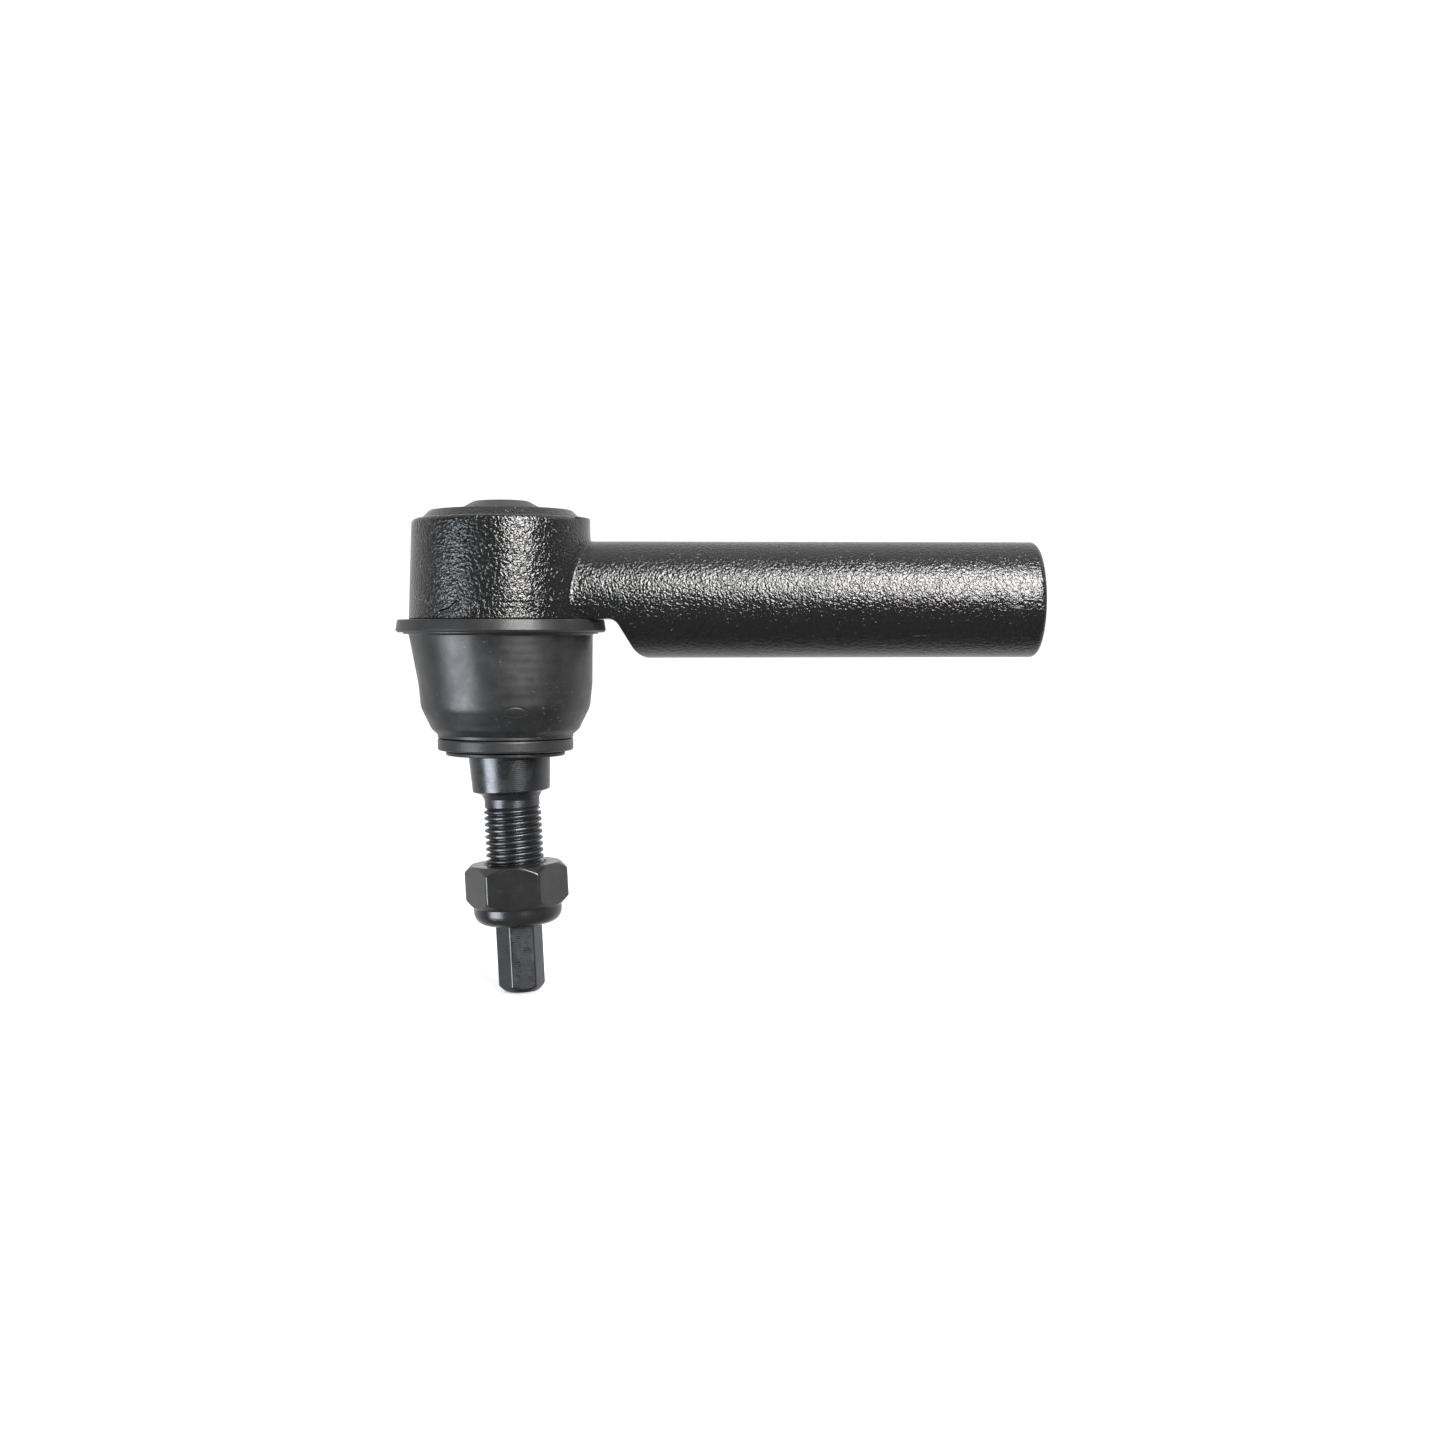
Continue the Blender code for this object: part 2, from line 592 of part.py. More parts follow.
def make_stud(parent):
    """One forging: ball, neck, cone with its tapered seat, undercut, thread and hexagonal end."""
    flat = math.acos(BALL_FLAT_R / BALL_R)
    neck = -math.acos(NECK_R / BALL_R)
    ball = arc((0.0, 0.0), BALL_R, flat, neck, 5 * FILLET_STEPS)
    flare_d = KNUCKLE_D - FLARE_LEN
    shaft = outline(
        ball[-1],
        (NECK_R, -NECK_D, FLARE_ROUND),
        (stud_radius(flare_d), -flare_d, FLARE_ROUND),
        (stud_radius(TAPER_D), -TAPER_D, TAPER_ROUND),
        (UNDERCUT_R, -TAPER_D - UNDERCUT_STEP, UNDERCUT_STEP),
        (UNDERCUT_R, -THREAD_D),
        (ROOT_R - FIT, -THREAD_D - THREAD_DEPTH),
        (0.0, -THREAD_D - THREAD_DEPTH),
    )
    profile = [(0.0, ball[0][1]), *ball, *shaft[1:]]
    black_oxide = finish("black_oxide", (0.06, 0.062, 0.066), 0.3, 0.85)
    stud = mesh_object("ball_stud", turned(profile, ROUND_MEDIUM), parent, black_oxide)
    rod = thread(-DRIVE_D, -THREAD_D + THREAD_FADE, ROOT_R, THREAD_R, THREAD_FADE)
    combine(stud, "UNION", mesh_object("stud_thread", rod, parent))
    combine(stud, "UNION", make_drive(parent))


def make_drive(parent):
    """The stud's hexagonal end, which a spanner holds while the nut turns."""
    inside = -DRIVE_D + THREAD_FADE
    corner_r = DRIVE_FLATS / 2 / math.cos(math.radians(30))
    tip = [
        (0.0, inside + CUT),
        (corner_r + CUT, inside + CUT),
        (corner_r + CUT, -END_D + DRIVE_TIP + CUT),
        (corner_r - DRIVE_TIP, -END_D),
        (0.0, -END_D),
    ]
    drive = mesh_object("drive_hexagon", hexagon(DRIVE_FLATS, -END_D - CUT, inside, DRIVE_TURN), parent)
    combine(drive, "INTERSECT", mesh_object("drive_tip", turned(tip, ROUND_SMALL), parent))
    return drive


def make_nut(parent):
    """Hexagon nut with a round collar below it, rolled over the pocket of its plastic insert."""
    corner_r = NUT_FLATS / 2 / math.cos(math.radians(30))
    wide_r = corner_r + CUT
    drop = NUT_CORNER_DROP * (wide_r - NUT_FACE_R) / (corner_r - NUT_FACE_R)
    rise = NUT_CORNER_DROP * (wide_r - NUT_COLLAR_R) / (corner_r - NUT_COLLAR_R)
    blank = outline(
        (0.0, -NUT_TOP_D),
        (NUT_FACE_R, -NUT_TOP_D),
        (wide_r, -NUT_TOP_D - drop),
        (wide_r, -NUT_COLLAR_D + rise),
        (NUT_COLLAR_R, -NUT_COLLAR_D),
        (NUT_COLLAR_R, -NUT_LOW_D, NUT_COLLAR_ROUND),
        (0.0, -NUT_LOW_D),
        steps=2 * FILLET_STEPS,
    )
    hexagonal = hexagon(NUT_FLATS, -NUT_LOW_D - CUT, -NUT_TOP_D + CUT, NUT_TURN)
    black_nut = finish("black_nut", (0.035, 0.035, 0.036), 0.25, 0.8)
    nut = mesh_object("lock_nut", turned(blank, ROUND_BIG), parent, black_nut)
    combine(nut, "INTERSECT", mesh_object("nut_hexagon", hexagonal, parent))
    combine(nut, "DIFFERENCE", make_nut_bore(parent))
    tap = thread(-INSERT_LOW_D, -NUT_TOP_D + 3 * PITCH, ROOT_R + FIT, THREAD_R + FIT, PITCH / 4)
    combine(nut, "DIFFERENCE", mesh_object("nut_tap", tap, parent))


def make_nut_bore(parent):
    pocket_r = INSERT_BORE_R + INSERT_WALL + FIT
    core_r = ROOT_R + FIT / 2
    sink_r = THREAD_R + THREAD_DEPTH
    bore = [
        (0.0, -NUT_TOP_D + CUT),
        (sink_r + CUT, -NUT_TOP_D + CUT),
        (core_r, -NUT_TOP_D - sink_r + core_r),
        (core_r, -INSERT_TOP_D + FIT),
        (pocket_r, -INSERT_TOP_D + FIT),
        (pocket_r, -INSERT_LOW_D - FIT),
        (INSERT_BORE_R, -INSERT_LOW_D - FIT),
        (INSERT_BORE_R, -NUT_LOW_D - CUT),
        (0.0, -NUT_LOW_D - CUT),
    ]
    return mesh_object("nut_bore", turned(bore, ROUND_MEDIUM), parent)


def make_insert(parent):
    """Nylon ring in the nut's collar, which grips the thread."""
    outer_r = INSERT_BORE_R + INSERT_WALL
    section = [
        (INSERT_BORE_R, -INSERT_LOW_D),
        (outer_r, -INSERT_LOW_D),
        (outer_r, -INSERT_TOP_D),
        (INSERT_BORE_R, -INSERT_TOP_D),
    ]
    nylon = finish("nylon", (0.72, 0.72, 0.68), 0.45, 0.0)
    mesh_object("nylon_insert", turned(section, ROUND_MEDIUM, ring=True), parent, nylon)


def main():
    clear_scene()
    ball_centre = empty("ball_centre", place=(-REACH, 0.0, 0.0))
    stud_axis = empty("stud_axis", ball_centre, turn=(0.0, -LEAN, 0.0))
    make_housing(ball_centre)
    make_seats(ball_centre)
    make_spring(ball_centre)
    make_cover(ball_centre)
    make_top_ring(ball_centre)
    make_boot(ball_centre)
    make_foot(ball_centre)
    make_stud(stud_axis)
    make_nut(stud_axis)
    make_insert(stud_axis)


main()
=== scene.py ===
"""Tie rod end: the detailed pieces round the CAD frame, their finishes, and a small studio."""
import math

import bmesh
import bpy
import numpy as np
from bpy.props import FloatProperty, FloatVectorProperty, IntProperty, PointerProperty
from bpy.types import Operator, Panel, PropertyGroup
from mathutils import Matrix, Vector


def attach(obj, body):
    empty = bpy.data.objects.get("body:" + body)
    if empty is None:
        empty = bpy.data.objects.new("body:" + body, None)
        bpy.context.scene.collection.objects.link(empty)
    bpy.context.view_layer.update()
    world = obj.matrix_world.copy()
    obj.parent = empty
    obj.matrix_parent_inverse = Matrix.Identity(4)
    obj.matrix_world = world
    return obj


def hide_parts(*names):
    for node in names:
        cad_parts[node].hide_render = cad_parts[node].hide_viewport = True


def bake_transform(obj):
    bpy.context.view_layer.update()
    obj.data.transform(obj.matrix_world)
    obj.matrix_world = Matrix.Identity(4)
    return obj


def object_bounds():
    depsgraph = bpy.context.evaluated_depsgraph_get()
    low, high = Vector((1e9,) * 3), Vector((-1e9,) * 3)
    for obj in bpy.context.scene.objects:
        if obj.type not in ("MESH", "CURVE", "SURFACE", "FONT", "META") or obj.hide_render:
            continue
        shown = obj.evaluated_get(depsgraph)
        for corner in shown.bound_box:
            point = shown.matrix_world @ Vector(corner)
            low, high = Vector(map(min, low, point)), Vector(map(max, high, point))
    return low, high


bl_info = {
    "name": "Tie Rod End",
    "version": (1, 0, 0),
    "blender": (4, 5, 0),
    "location": "3D View > Sidebar > Tie Rod",
    "description": "Builds a tie rod end: forged housing, ball stud, dust boot and lock nut",
    "category": "Add Mesh",
}

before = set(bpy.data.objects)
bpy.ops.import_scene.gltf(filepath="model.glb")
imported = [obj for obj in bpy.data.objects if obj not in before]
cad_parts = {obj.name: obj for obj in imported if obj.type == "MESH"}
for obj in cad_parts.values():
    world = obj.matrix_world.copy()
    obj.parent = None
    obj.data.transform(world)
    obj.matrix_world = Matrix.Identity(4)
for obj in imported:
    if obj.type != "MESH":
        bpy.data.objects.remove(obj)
CAD_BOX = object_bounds()

# Shapes below are in millimetres, with the ball's centre at the origin and the shank along +X.
MM = 0.001
REACH = 130.2                   # ball centre to the shank's end face
LEAN = math.radians(3.15)       # the stud hangs over towards the shank
BALL = Matrix.Translation((-REACH, 0, 0))
STUD = BALL @ Matrix.Rotation(-LEAN, 4, "Y")
SHANK = BALL @ Matrix.Rotation(math.radians(90), 4, "Y")

# Forging
BALL_R = 13.5
HEAD_BORE_R = 17.1
SOCKET_FLOOR = -7.6
LIP_LOW, LIP_TOP = 20.2, 21.6
LIP_IN_R, LIP_OUT_R, LIP_FOOT_R = 16.2, 17.5, 19.5
PLATE_BORE_R = 18.3
PLATE_LOW, PLATE_TOP = 18.1, 19.9
SHOULDER = 19.6
HEAD_TOP_R, HEAD_LOW_R, HEAD_LOW = 21.75, 22.38, -4.8
COLLAR_R, COLLAR_LOW = 19.5, -10.7
SHANK_END_R, SHANK_ROOT_R, SHANK_ROOT = 14.0, 14.25, 8.0
ROD_MINOR_R, ROD_MAJOR_R, ROD_PITCH = 8.19, 9.0, 1.5
ROD_BORE_DEPTH = 85.0

# Boot and rings
RING_IN_R, RING_R, RING_TOP, RING_LOW = 19.8, 25.6, -4.87, -8.0
FOOT_RING_R, FOOT_TOP, FOOT_LOW = 16.5, -33.65, -36.55
SEAL_TOP, SEAL_LOW = -36.85, -37.8

# Stud and nut, in the stud's own leaning frame
NECK_R, NECK_LOW = 6.25, -16.0
TAPER_LOW = -46.5
THREAD_TOP, THREAD_LOW = -50.3, -79.2
THREAD_R, THREAD_ROOT_R, PITCH = 7.0, 6.08, 1.5
DRIVE_LOW, DRIVE_FLATS, DRIVE_TURN = -95.2, 10.0, math.radians(10.0)
NUT_TOP, NUT_COLLAR, NUT_LOW = -64.2, -74.5, -78.8
NUT_FLATS, NUT_FACE_R, NUT_COLLAR_R = 22.0, 10.9, 10.75
NUT_TURN = math.radians(-1.5)
NUT_CORNER_DROP = 1.85

# Marks in the finishes: places from the ball's centre, all in millimetres
MOULD_MARK, MOULD_MARK_WIDE, MOULD_MARK_TALL = (4.6, -26.6), 2.6, 1.1
NICK = (((-12.9, -3.3), (-10.8, -2.7)), ((-10.8, -2.8), (-9.0, -1.1)))
NICK_FRONT = -12.0              # the nick is only on the side nearer than this
TOOTH_ROOT, TOOTH_CREST = 0.06, 0.74    # share of half a pitch where a thread's flank starts and ends

# Camera, in metres
CAMERA_PLACE = (-0.1019, -0.4354, -0.0086)
CAMERA_SHIFT = (0.073, -0.0606)
SENSOR = 36.0                   # millimetres


# ---------------------------------------------------------------------------- sizes and colours


def colour(name, description, default):
    return FloatVectorProperty(
        name=name, description=description, default=default, size=3, subtype="COLOR", min=0.0, max=1.0
    )


class TIEROD_PG_forging(PropertyGroup):
    """Finish of the painted forging."""

    paint: colour("Paint", "Colour of the gloss paint", (0.006, 0.006, 0.0062))
    gloss: FloatProperty(
        name="Roughness", description="Roughness of the paint",
        default=0.13, min=0.0, max=1.0, subtype="FACTOR",
    )
    grain: FloatProperty(
        name="Grain", description="Height of the forged skin under the paint",
        default=0.00009, min=0.0, max=0.001, unit="LENGTH", precision=5,
    )
    fillet: FloatProperty(
        name="Fillet", description="Radius between the head and the shank",
        default=0.0005, min=0.0003, max=0.005, unit="LENGTH", precision=4,
    )


class TIEROD_PG_boot(PropertyGroup):
    """Finish of the boot and its rings."""

    rubber: colour("Rubber", "Colour of the dust boot", (0.0078, 0.008, 0.0084))
    ring: colour("Ring", "Colour of the painted rings", (0.013, 0.013, 0.0133))
    segments: IntProperty(
        name="Segments", description="Facets round each turned piece",
        default=192, min=48, max=384,
    )


class TIEROD_PG_stud(PropertyGroup):
    """Finish of the stud and its nut."""

    oxide: colour("Black oxide", "Colour of the stud", (0.075, 0.0775, 0.082))
    nut: colour("Nut", "Colour of the lock nut", (0.055, 0.055, 0.056))
    nylon: colour("Nylon", "Colour of the nut's locking insert", (0.66, 0.66, 0.62))
    thread_steps: IntProperty(
        name="Thread steps", description="Rows of facets for each turn",
        default=14, min=8, max=32,
    )


class TIEROD_PG_studio(PropertyGroup):
    """Camera and light."""

    lens: FloatProperty(
        name="Lens", description="Focal length",
        default=44.47, min=10.0, max=200.0, unit="CAMERA",
    )
    floor: colour("Floor", "Colour of the floor and backdrop", (0.5, 0.5, 0.503))
    key: FloatProperty(
        name="Key light", description="Power of the softbox",
        default=27.0, min=0.0, unit="POWER",
    )
    fill: FloatProperty(
        name="Fill light", description="Power of the light on the left",
        default=9.5, min=0.0, unit="POWER",
    )
    sky: FloatProperty(name="Sky", description="Strength of the light all round", default=0.9, min=0.0)


class TIEROD_PG_settings(PropertyGroup):
    """Everything that can be changed before the pieces are built."""

    forging: PointerProperty(type=TIEROD_PG_forging)
    boot: PointerProperty(type=TIEROD_PG_boot)
    stud: PointerProperty(type=TIEROD_PG_stud)
    studio: PointerProperty(type=TIEROD_PG_studio)


# ---------------------------------------------------------------------------- finishes


class Finish:
    """A material and the few kinds of node that the finishes here are made of."""

    def __init__(self, name):
        self.material = bpy.data.materials.new(name)
        self.material.use_nodes = True
        self.tree = self.material.node_tree
        self.shader = self.tree.nodes["Principled BSDF"]
        self.place = self.tree.nodes.new("ShaderNodeTexCoord").outputs["Object"]

    def node(self, kind, inputs=None, **settings):
        """A node with its settings, whose inputs are joined to sockets or given plain values."""
        made = self.tree.nodes.new(kind)
        for key, value in settings.items():
            setattr(made, key, value)
        for key, value in (inputs or {}).items():
            if isinstance(value, bpy.types.NodeSocket):
                self.tree.links.new(value, made.inputs[key])
            else:
                made.inputs[key].default_value = value
        return made

    def mapped(self, scale=(1.0, 1.0, 1.0), location=(0.0, 0.0, 0.0), rotation=(0.0, 0.0, 0.0)):
        values = {"Vector": self.place, "Scale": scale, "Location": location, "Rotation": rotation}
        return self.node("ShaderNodeMapping", values, vector_type="POINT").outputs[0]

    def noise(self, size, detail=2.0, roughness=0.5, distortion=0.0, vector=None):
        """Noise whose features are about that size, in millimetres."""
        values = {
            "Vector": vector or self.place, "Scale": 1 / (size * MM), "Detail": detail,
            "Roughness": roughness, "Distortion": distortion,
        }
        return self.node("ShaderNodeTexNoise", values).outputs[0]

    def math(self, operation, *values):
        return self.node("ShaderNodeMath", dict(enumerate(values)), operation=operation).outputs[0]

    def spread(self, value, low, high, to_low=0.0, to_high=1.0, smooth=False):
        """value, taken from the range low to high to another one, and held inside it."""
        values = {"Value": value, "From Min": low, "From Max": high, "To Min": to_low, "To Max": to_high}
        kind = "SMOOTHSTEP" if smooth else "LINEAR"
        return self.node("ShaderNodeMapRange", values, interpolation_type=kind, clamp=True).outputs[0]

    def blend(self, share, first, second):
        """Two colours mixed."""
        pair = [c if isinstance(c, bpy.types.NodeSocket) else (*c, 1.0) for c in (first, second)]
        return self.node("ShaderNodeMix", {0: share, 6: pair[0], 7: pair[1]}, data_type="RGBA").outputs[2]

    def bump(self, height, depth, normal=None):
        """Relief of that depth, in millimetres, on top of another one."""
        values = {"Height": height, "Distance": depth * MM, "Strength": 1.0}
        if normal:
            values["Normal"] = normal
        return self.node("ShaderNodeBump", values).outputs[0]

    def axis_height(self, tilt):
        """Distance along a turned piece's own axis, from the ball's centre, for rings of machining."""
        local = self.mapped(location=(REACH * MM, 0.0, 0.0), rotation=(0.0, tilt, 0.0))
        return self.node("ShaderNodeSeparateXYZ", {0: local}).outputs[2]

    def done(self, **inputs):
        """Sets the shader's inputs, given by their names with underscores, and returns the material."""
        for key, value in inputs.items():
            socket = self.shader.inputs[key.replace("_", " ")]
            if isinstance(value, bpy.types.NodeSocket):
                self.tree.links.new(value, socket)
            elif socket.type == "RGBA":
                socket.default_value = (*value, 1.0)
            else:
                socket.default_value = value
        return self.material


def times(rgb, factor):
    return tuple(channel * factor for channel in rgb)


# ---------------------------------------------------------------------------- shapes


def rounded(corners, closed=False, steps=6):
    """Corners (radius, height) or (radius, height, fillet) of a section, with their fillets as arcs."""
    points = []
    last = len(corners) - 1
    for index, corner in enumerate(corners):
        here = Vector(corner[:2])
        fillet = corner[2] if len(corner) > 2 else 0.0
        if not fillet or (not closed and index in (0, last)):
            points.append(tuple(here))
            continue
        back = (Vector(corners[index - 1][:2]) - here).normalized()
        on = (Vector(corners[0 if index == last else index + 1][:2]) - here).normalized()
        half = back.angle(on) / 2
        centre = here + (back + on).normalized() * fillet / math.sin(half)
        start = here + back * fillet / math.tan(half) - centre
        end = here + on * fillet / math.tan(half) - centre
        sweep = math.pi - 2 * half
        for step in range(steps + 1):
            share = step / steps
            spoke = start * math.sin((1 - share) * sweep) + end * math.sin(share * sweep)
            points.append(tuple(centre + spoke / math.sin(sweep)))
    return points


def supported(points, closed=False, gap=0.12, spacing=3.0):
    """The same section with rows close to each end of its straight runs, and others along the long ones."""
    filled = []
    pairs = list(zip(points, points[1:] + points[:1]))
    for start, end in pairs if closed else pairs[:-1]:
        a, b = Vector(start), Vector(end)
        length = (b - a).length
        filled.append(tuple(a))
        if length > 4 * gap:
            inner = max(1, round(length / spacing))
            rows = [gap, *(length * row / inner for row in range(1, inner)), length - gap]
            filled += [tuple(a.lerp(b, row / length)) for row in rows]
    return filled if closed else [*filled, points[-1]]


def arc(radius, start, end, steps, centre=(0.0, 0.0)):
    """Points on a circle's arc, with angles up from the level."""
    angles = [start + (end - start) * step / steps for step in range(steps + 1)]
    return [(centre[0] + radius * math.cos(a), centre[1] + radius * math.sin(a)) for a in angles]


def turned(points, segments, closed=False, shape=None):
    """Vertices and faces of a section turned about Z. shape(angles, radius, height) may pull a row in."""
    angles = np.arange(segments) * (2 * math.pi / segments)
    vertices, rows = [], []
    for radius, height in points:
        if radius < 1e-6:
            rows.append([len(vertices)] * segments)
            vertices.append((0.0, 0.0, height))
            continue
        reach = np.full(segments, radius) if shape is None else shape(angles, radius, height)
        rows.append(range(len(vertices), len(vertices) + segments))
        vertices += list(zip(reach * np.cos(angles), reach * np.sin(angles), np.full(segments, height)))
    faces = []
    for low, high in zip(rows, rows[1:] + rows[:1] if closed else rows[1:]):
        for here in range(segments):
            there = (here + 1) % segments
            corners = [low[here], low[there], high[there], high[here]]
            face = list(dict.fromkeys(corners))
            if len(face) > 2:
                faces.append(face)
    return vertices, faces


def new_object(name, vertices, faces, place=BALL, bend=None):
    """An object at the origin whose mesh is in its place, closed, facing outwards and shaded smooth."""
    mesh = bpy.data.meshes.new(name)
    points = np.array(vertices, dtype=float)
    if bend is not None:
        points = bend(points)
    mesh.from_pydata(points.tolist(), [], faces)
    return finish_mesh(name, mesh, place)


def finish_mesh(name, mesh, place):
    bm = bmesh.new()
    bm.from_mesh(mesh)
    bmesh.ops.remove_doubles(bm, verts=bm.verts, dist=1e-5)
    bmesh.ops.recalc_face_normals(bm, faces=bm.faces)
    bm.to_mesh(mesh)
    bm.free()
    mesh.transform(scaled(place))
    mesh.shade_smooth()
    piece = bpy.data.objects.new(name, mesh)
    bpy.context.scene.collection.objects.link(piece)
    return piece


def scaled(place):
    """A place whose turn is about a point given in millimetres, for a mesh in millimetres."""
    return Matrix.Scale(MM, 4) @ place


def crease(piece, degrees=32.0):
    """Keeps the edges sharper than this angle crisp."""
    piece.data.set_sharp_from_angle(angle=math.radians(degrees))
    return piece


def joined(name, parts):
    """Several closed shells of one piece as one object."""
    bm = bmesh.new()
    for part in parts:
        bm.from_mesh(part.data)
        mesh = part.data
        bpy.data.objects.remove(part)
        bpy.data.meshes.remove(mesh)
    mesh = bpy.data.meshes.new(name)
    bm.to_mesh(mesh)
    bm.free()
    mesh.shade_smooth()
    piece = bpy.data.objects.new(name, mesh)
    bpy.context.scene.collection.objects.link(piece)
    return piece


def cut(piece, operation, *others):
    """Boolean of a piece with others, which are used up."""
    for other in others:
        modifier = piece.modifiers.new("boolean", "BOOLEAN")
        modifier.operation = operation
        modifier.solver = "EXACT"
        modifier.object = other
        result = evaluated_mesh(piece, piece.name)
        piece.modifiers.clear()
        old = piece.data
        piece.data = result
        bpy.data.meshes.remove(old)
        bpy.data.objects.remove(other)
    return piece


def evaluated_mesh(piece, name):
    bpy.context.view_layer.update()
    shown = piece.evaluated_get(bpy.context.evaluated_depsgraph_get())
    mesh = bpy.data.meshes.new_from_object(shown)
    mesh.name = name
    return mesh


def soft_low(first, second, blend):
    """The lower of two values, with the corner between them rounded over about that blend."""
    share = np.clip(0.5 + 0.5 * (second - first) / blend, 0.0, 1.0)
    return second + (first - second) * share - blend * share * (1.0 - share)


def hexagonal(flats, turn, blend):
    """A shape for turned(): six flats with rounded corners, where the section is wider than they are."""

    def shape(angles, radius, height):
        sector = np.mod(angles - turn, math.pi / 3) - math.pi / 6
        first = flats / 2 / np.cos(sector)
        other = flats / 2 / np.cos(math.pi / 3 - np.abs(sector))
        flat = soft_low(first, other, blend)
        return np.minimum(soft_low(np.full_like(angles, radius), flat, blend / 2), radius)

    return shape


# ---------------------------------------------------------------------------- threads


def socket(tree, name, kind, default=None):
    made = tree.interface.new_socket(name, in_out="INPUT", socket_type=kind)
    if default is not None:
        made.default_value = default
    return made


def thread_tree():
    """Helical thread as a closed shell: a rod, or a sleeve if Wall is more than zero. All in millimetres."""
    tree = bpy.data.node_groups.new("Thread", "GeometryNodeTree")
    defaults = {
        "Low": THREAD_LOW, "High": THREAD_TOP, "Root": THREAD_ROOT_R, "Depth": THREAD_R - THREAD_ROOT_R,
        "Pitch": PITCH, "Fade": 1.0, "Wall": 0.0,
    }
    for name, value in defaults.items():
        socket(tree, name, "NodeSocketFloat", value)
    socket(tree, "Around", "NodeSocketInt", 96)
    socket(tree, "Steps", "NodeSocketInt", 16)
    socket(tree, "Material", "NodeSocketMaterial")
    tree.interface.new_socket("Geometry", in_out="OUTPUT", socket_type="NodeSocketGeometry")
    links = tree.links
    inputs = tree.nodes.new("NodeGroupInput").outputs

    def node(kind, values, **settings):
        made = tree.nodes.new(kind)
        for key, value in settings.items():
            setattr(made, key, value)
        for key, value in values.items():
            if isinstance(value, bpy.types.NodeSocket):
                links.new(value, made.inputs[key])
            else:
                made.inputs[key].default_value = value
        return made.outputs

    def calc(operation, *values):
        return node("ShaderNodeMath", dict(enumerate(values)), operation=operation)[0]

    def ease(value, low, high):
        values = {"Value": value, "From Min": low, "From Max": high, "To Min": 0.0, "To Max": 1.0}
        return node("ShaderNodeMapRange", values, interpolation_type="SMOOTHSTEP", clamp=True)[0]

    length = calc("SUBTRACT", inputs["High"], inputs["Low"])
    turns = calc("ADD", calc("DIVIDE", length, inputs["Pitch"]), 1.0)
    rows = calc("CEIL", calc("ADD", calc("MULTIPLY", turns, inputs["Steps"]), 2.0))
    columns = calc("ADD", inputs["Around"], 1.0)
    sides = {"Size X": 1.0, "Size Y": 1.0, "Vertices X": columns, "Vertices Y": calc("ADD", rows, 1.0)}
    grid = node("GeometryNodeMeshGrid", sides)
    place = node("ShaderNodeSeparateXYZ", {0: node("GeometryNodeInputPosition", {})[0]})
    around = calc("ADD", place[0], 0.5)
    row = calc("MULTIPLY", calc("ADD", place[1], 0.5), rows)
    step = calc("DIVIDE", inputs["Pitch"], inputs["Steps"])
    base = calc("SUBTRACT", inputs["Low"], calc("ADD", inputs["Pitch"], step))
    rise = calc("ADD", calc("MULTIPLY", around, inputs["Pitch"]), calc("MULTIPLY", row, step))
    free = calc("ADD", base, rise)
    height = calc("MINIMUM", calc("MAXIMUM", free, inputs["Low"]), inputs["High"])
    phase = calc("FRACT", calc("DIVIDE", row, inputs["Steps"]))
    across = calc("ABSOLUTE", calc("SUBTRACT", calc("MULTIPLY", phase, 2.0), 1.0))
    tooth = ease(across, TOOTH_ROOT, TOOTH_CREST)
    start = ease(free, inputs["Low"], calc("ADD", inputs["Low"], inputs["Fade"]))
    finish = ease(free, inputs["High"], calc("SUBTRACT", inputs["High"], inputs["Fade"]))
    relief = calc("MULTIPLY", inputs["Depth"], calc("MULTIPLY", tooth, calc("MULTIPLY", start, finish)))
    end_row = calc("LESS_THAN", calc("MINIMUM", row, calc("SUBTRACT", rows, row)), 0.5)
    body = calc("ADD", inputs["Root"], relief)
    radius = calc("ADD", body, calc("MULTIPLY", end_row, calc("SUBTRACT", inputs["Wall"], body)))
    angle = calc("MULTIPLY", around, 2 * math.pi)
    point = node("ShaderNodeCombineXYZ", {
        0: calc("MULTIPLY", radius, calc("COSINE", angle)),
        1: calc("MULTIPLY", radius, calc("SINE", angle)),
        2: height,
    })
    skin = node("GeometryNodeSetPosition", {"Geometry": grid["Mesh"], "Position": point[0]})
    wall = node("GeometryNodeMeshCylinder", {
        "Vertices": inputs["Around"], "Radius": inputs["Wall"], "Depth": length,
    }, fill_type="NONE")
    halfway = calc("MULTIPLY", calc("ADD", inputs["High"], inputs["Low"]), 0.5)
    middle = node("ShaderNodeCombineXYZ", {2: halfway})
    placed = node("GeometryNodeTransform", {"Geometry": wall["Mesh"], "Translation": middle[0]})
    chosen = node("GeometryNodeSwitch", {
        "Switch": calc("GREATER_THAN", inputs["Wall"], 0.0), "True": placed[0],
    }, input_type="GEOMETRY")
    both = tree.nodes.new("GeometryNodeJoinGeometry")
    links.new(skin[0], both.inputs[0])
    links.new(chosen[0], both.inputs[0])
    merged = node("GeometryNodeMergeByDistance", {"Geometry": both.outputs[0], "Distance": 0.0005})
    real = node("GeometryNodeRealizeInstances", {"Geometry": merged[0]})
    shaded = node("GeometryNodeSetMaterial", {"Geometry": real[0], "Material": inputs["Material"]})
    links.new(shaded[0], tree.nodes.new("NodeGroupOutput").inputs[0])
    return tree


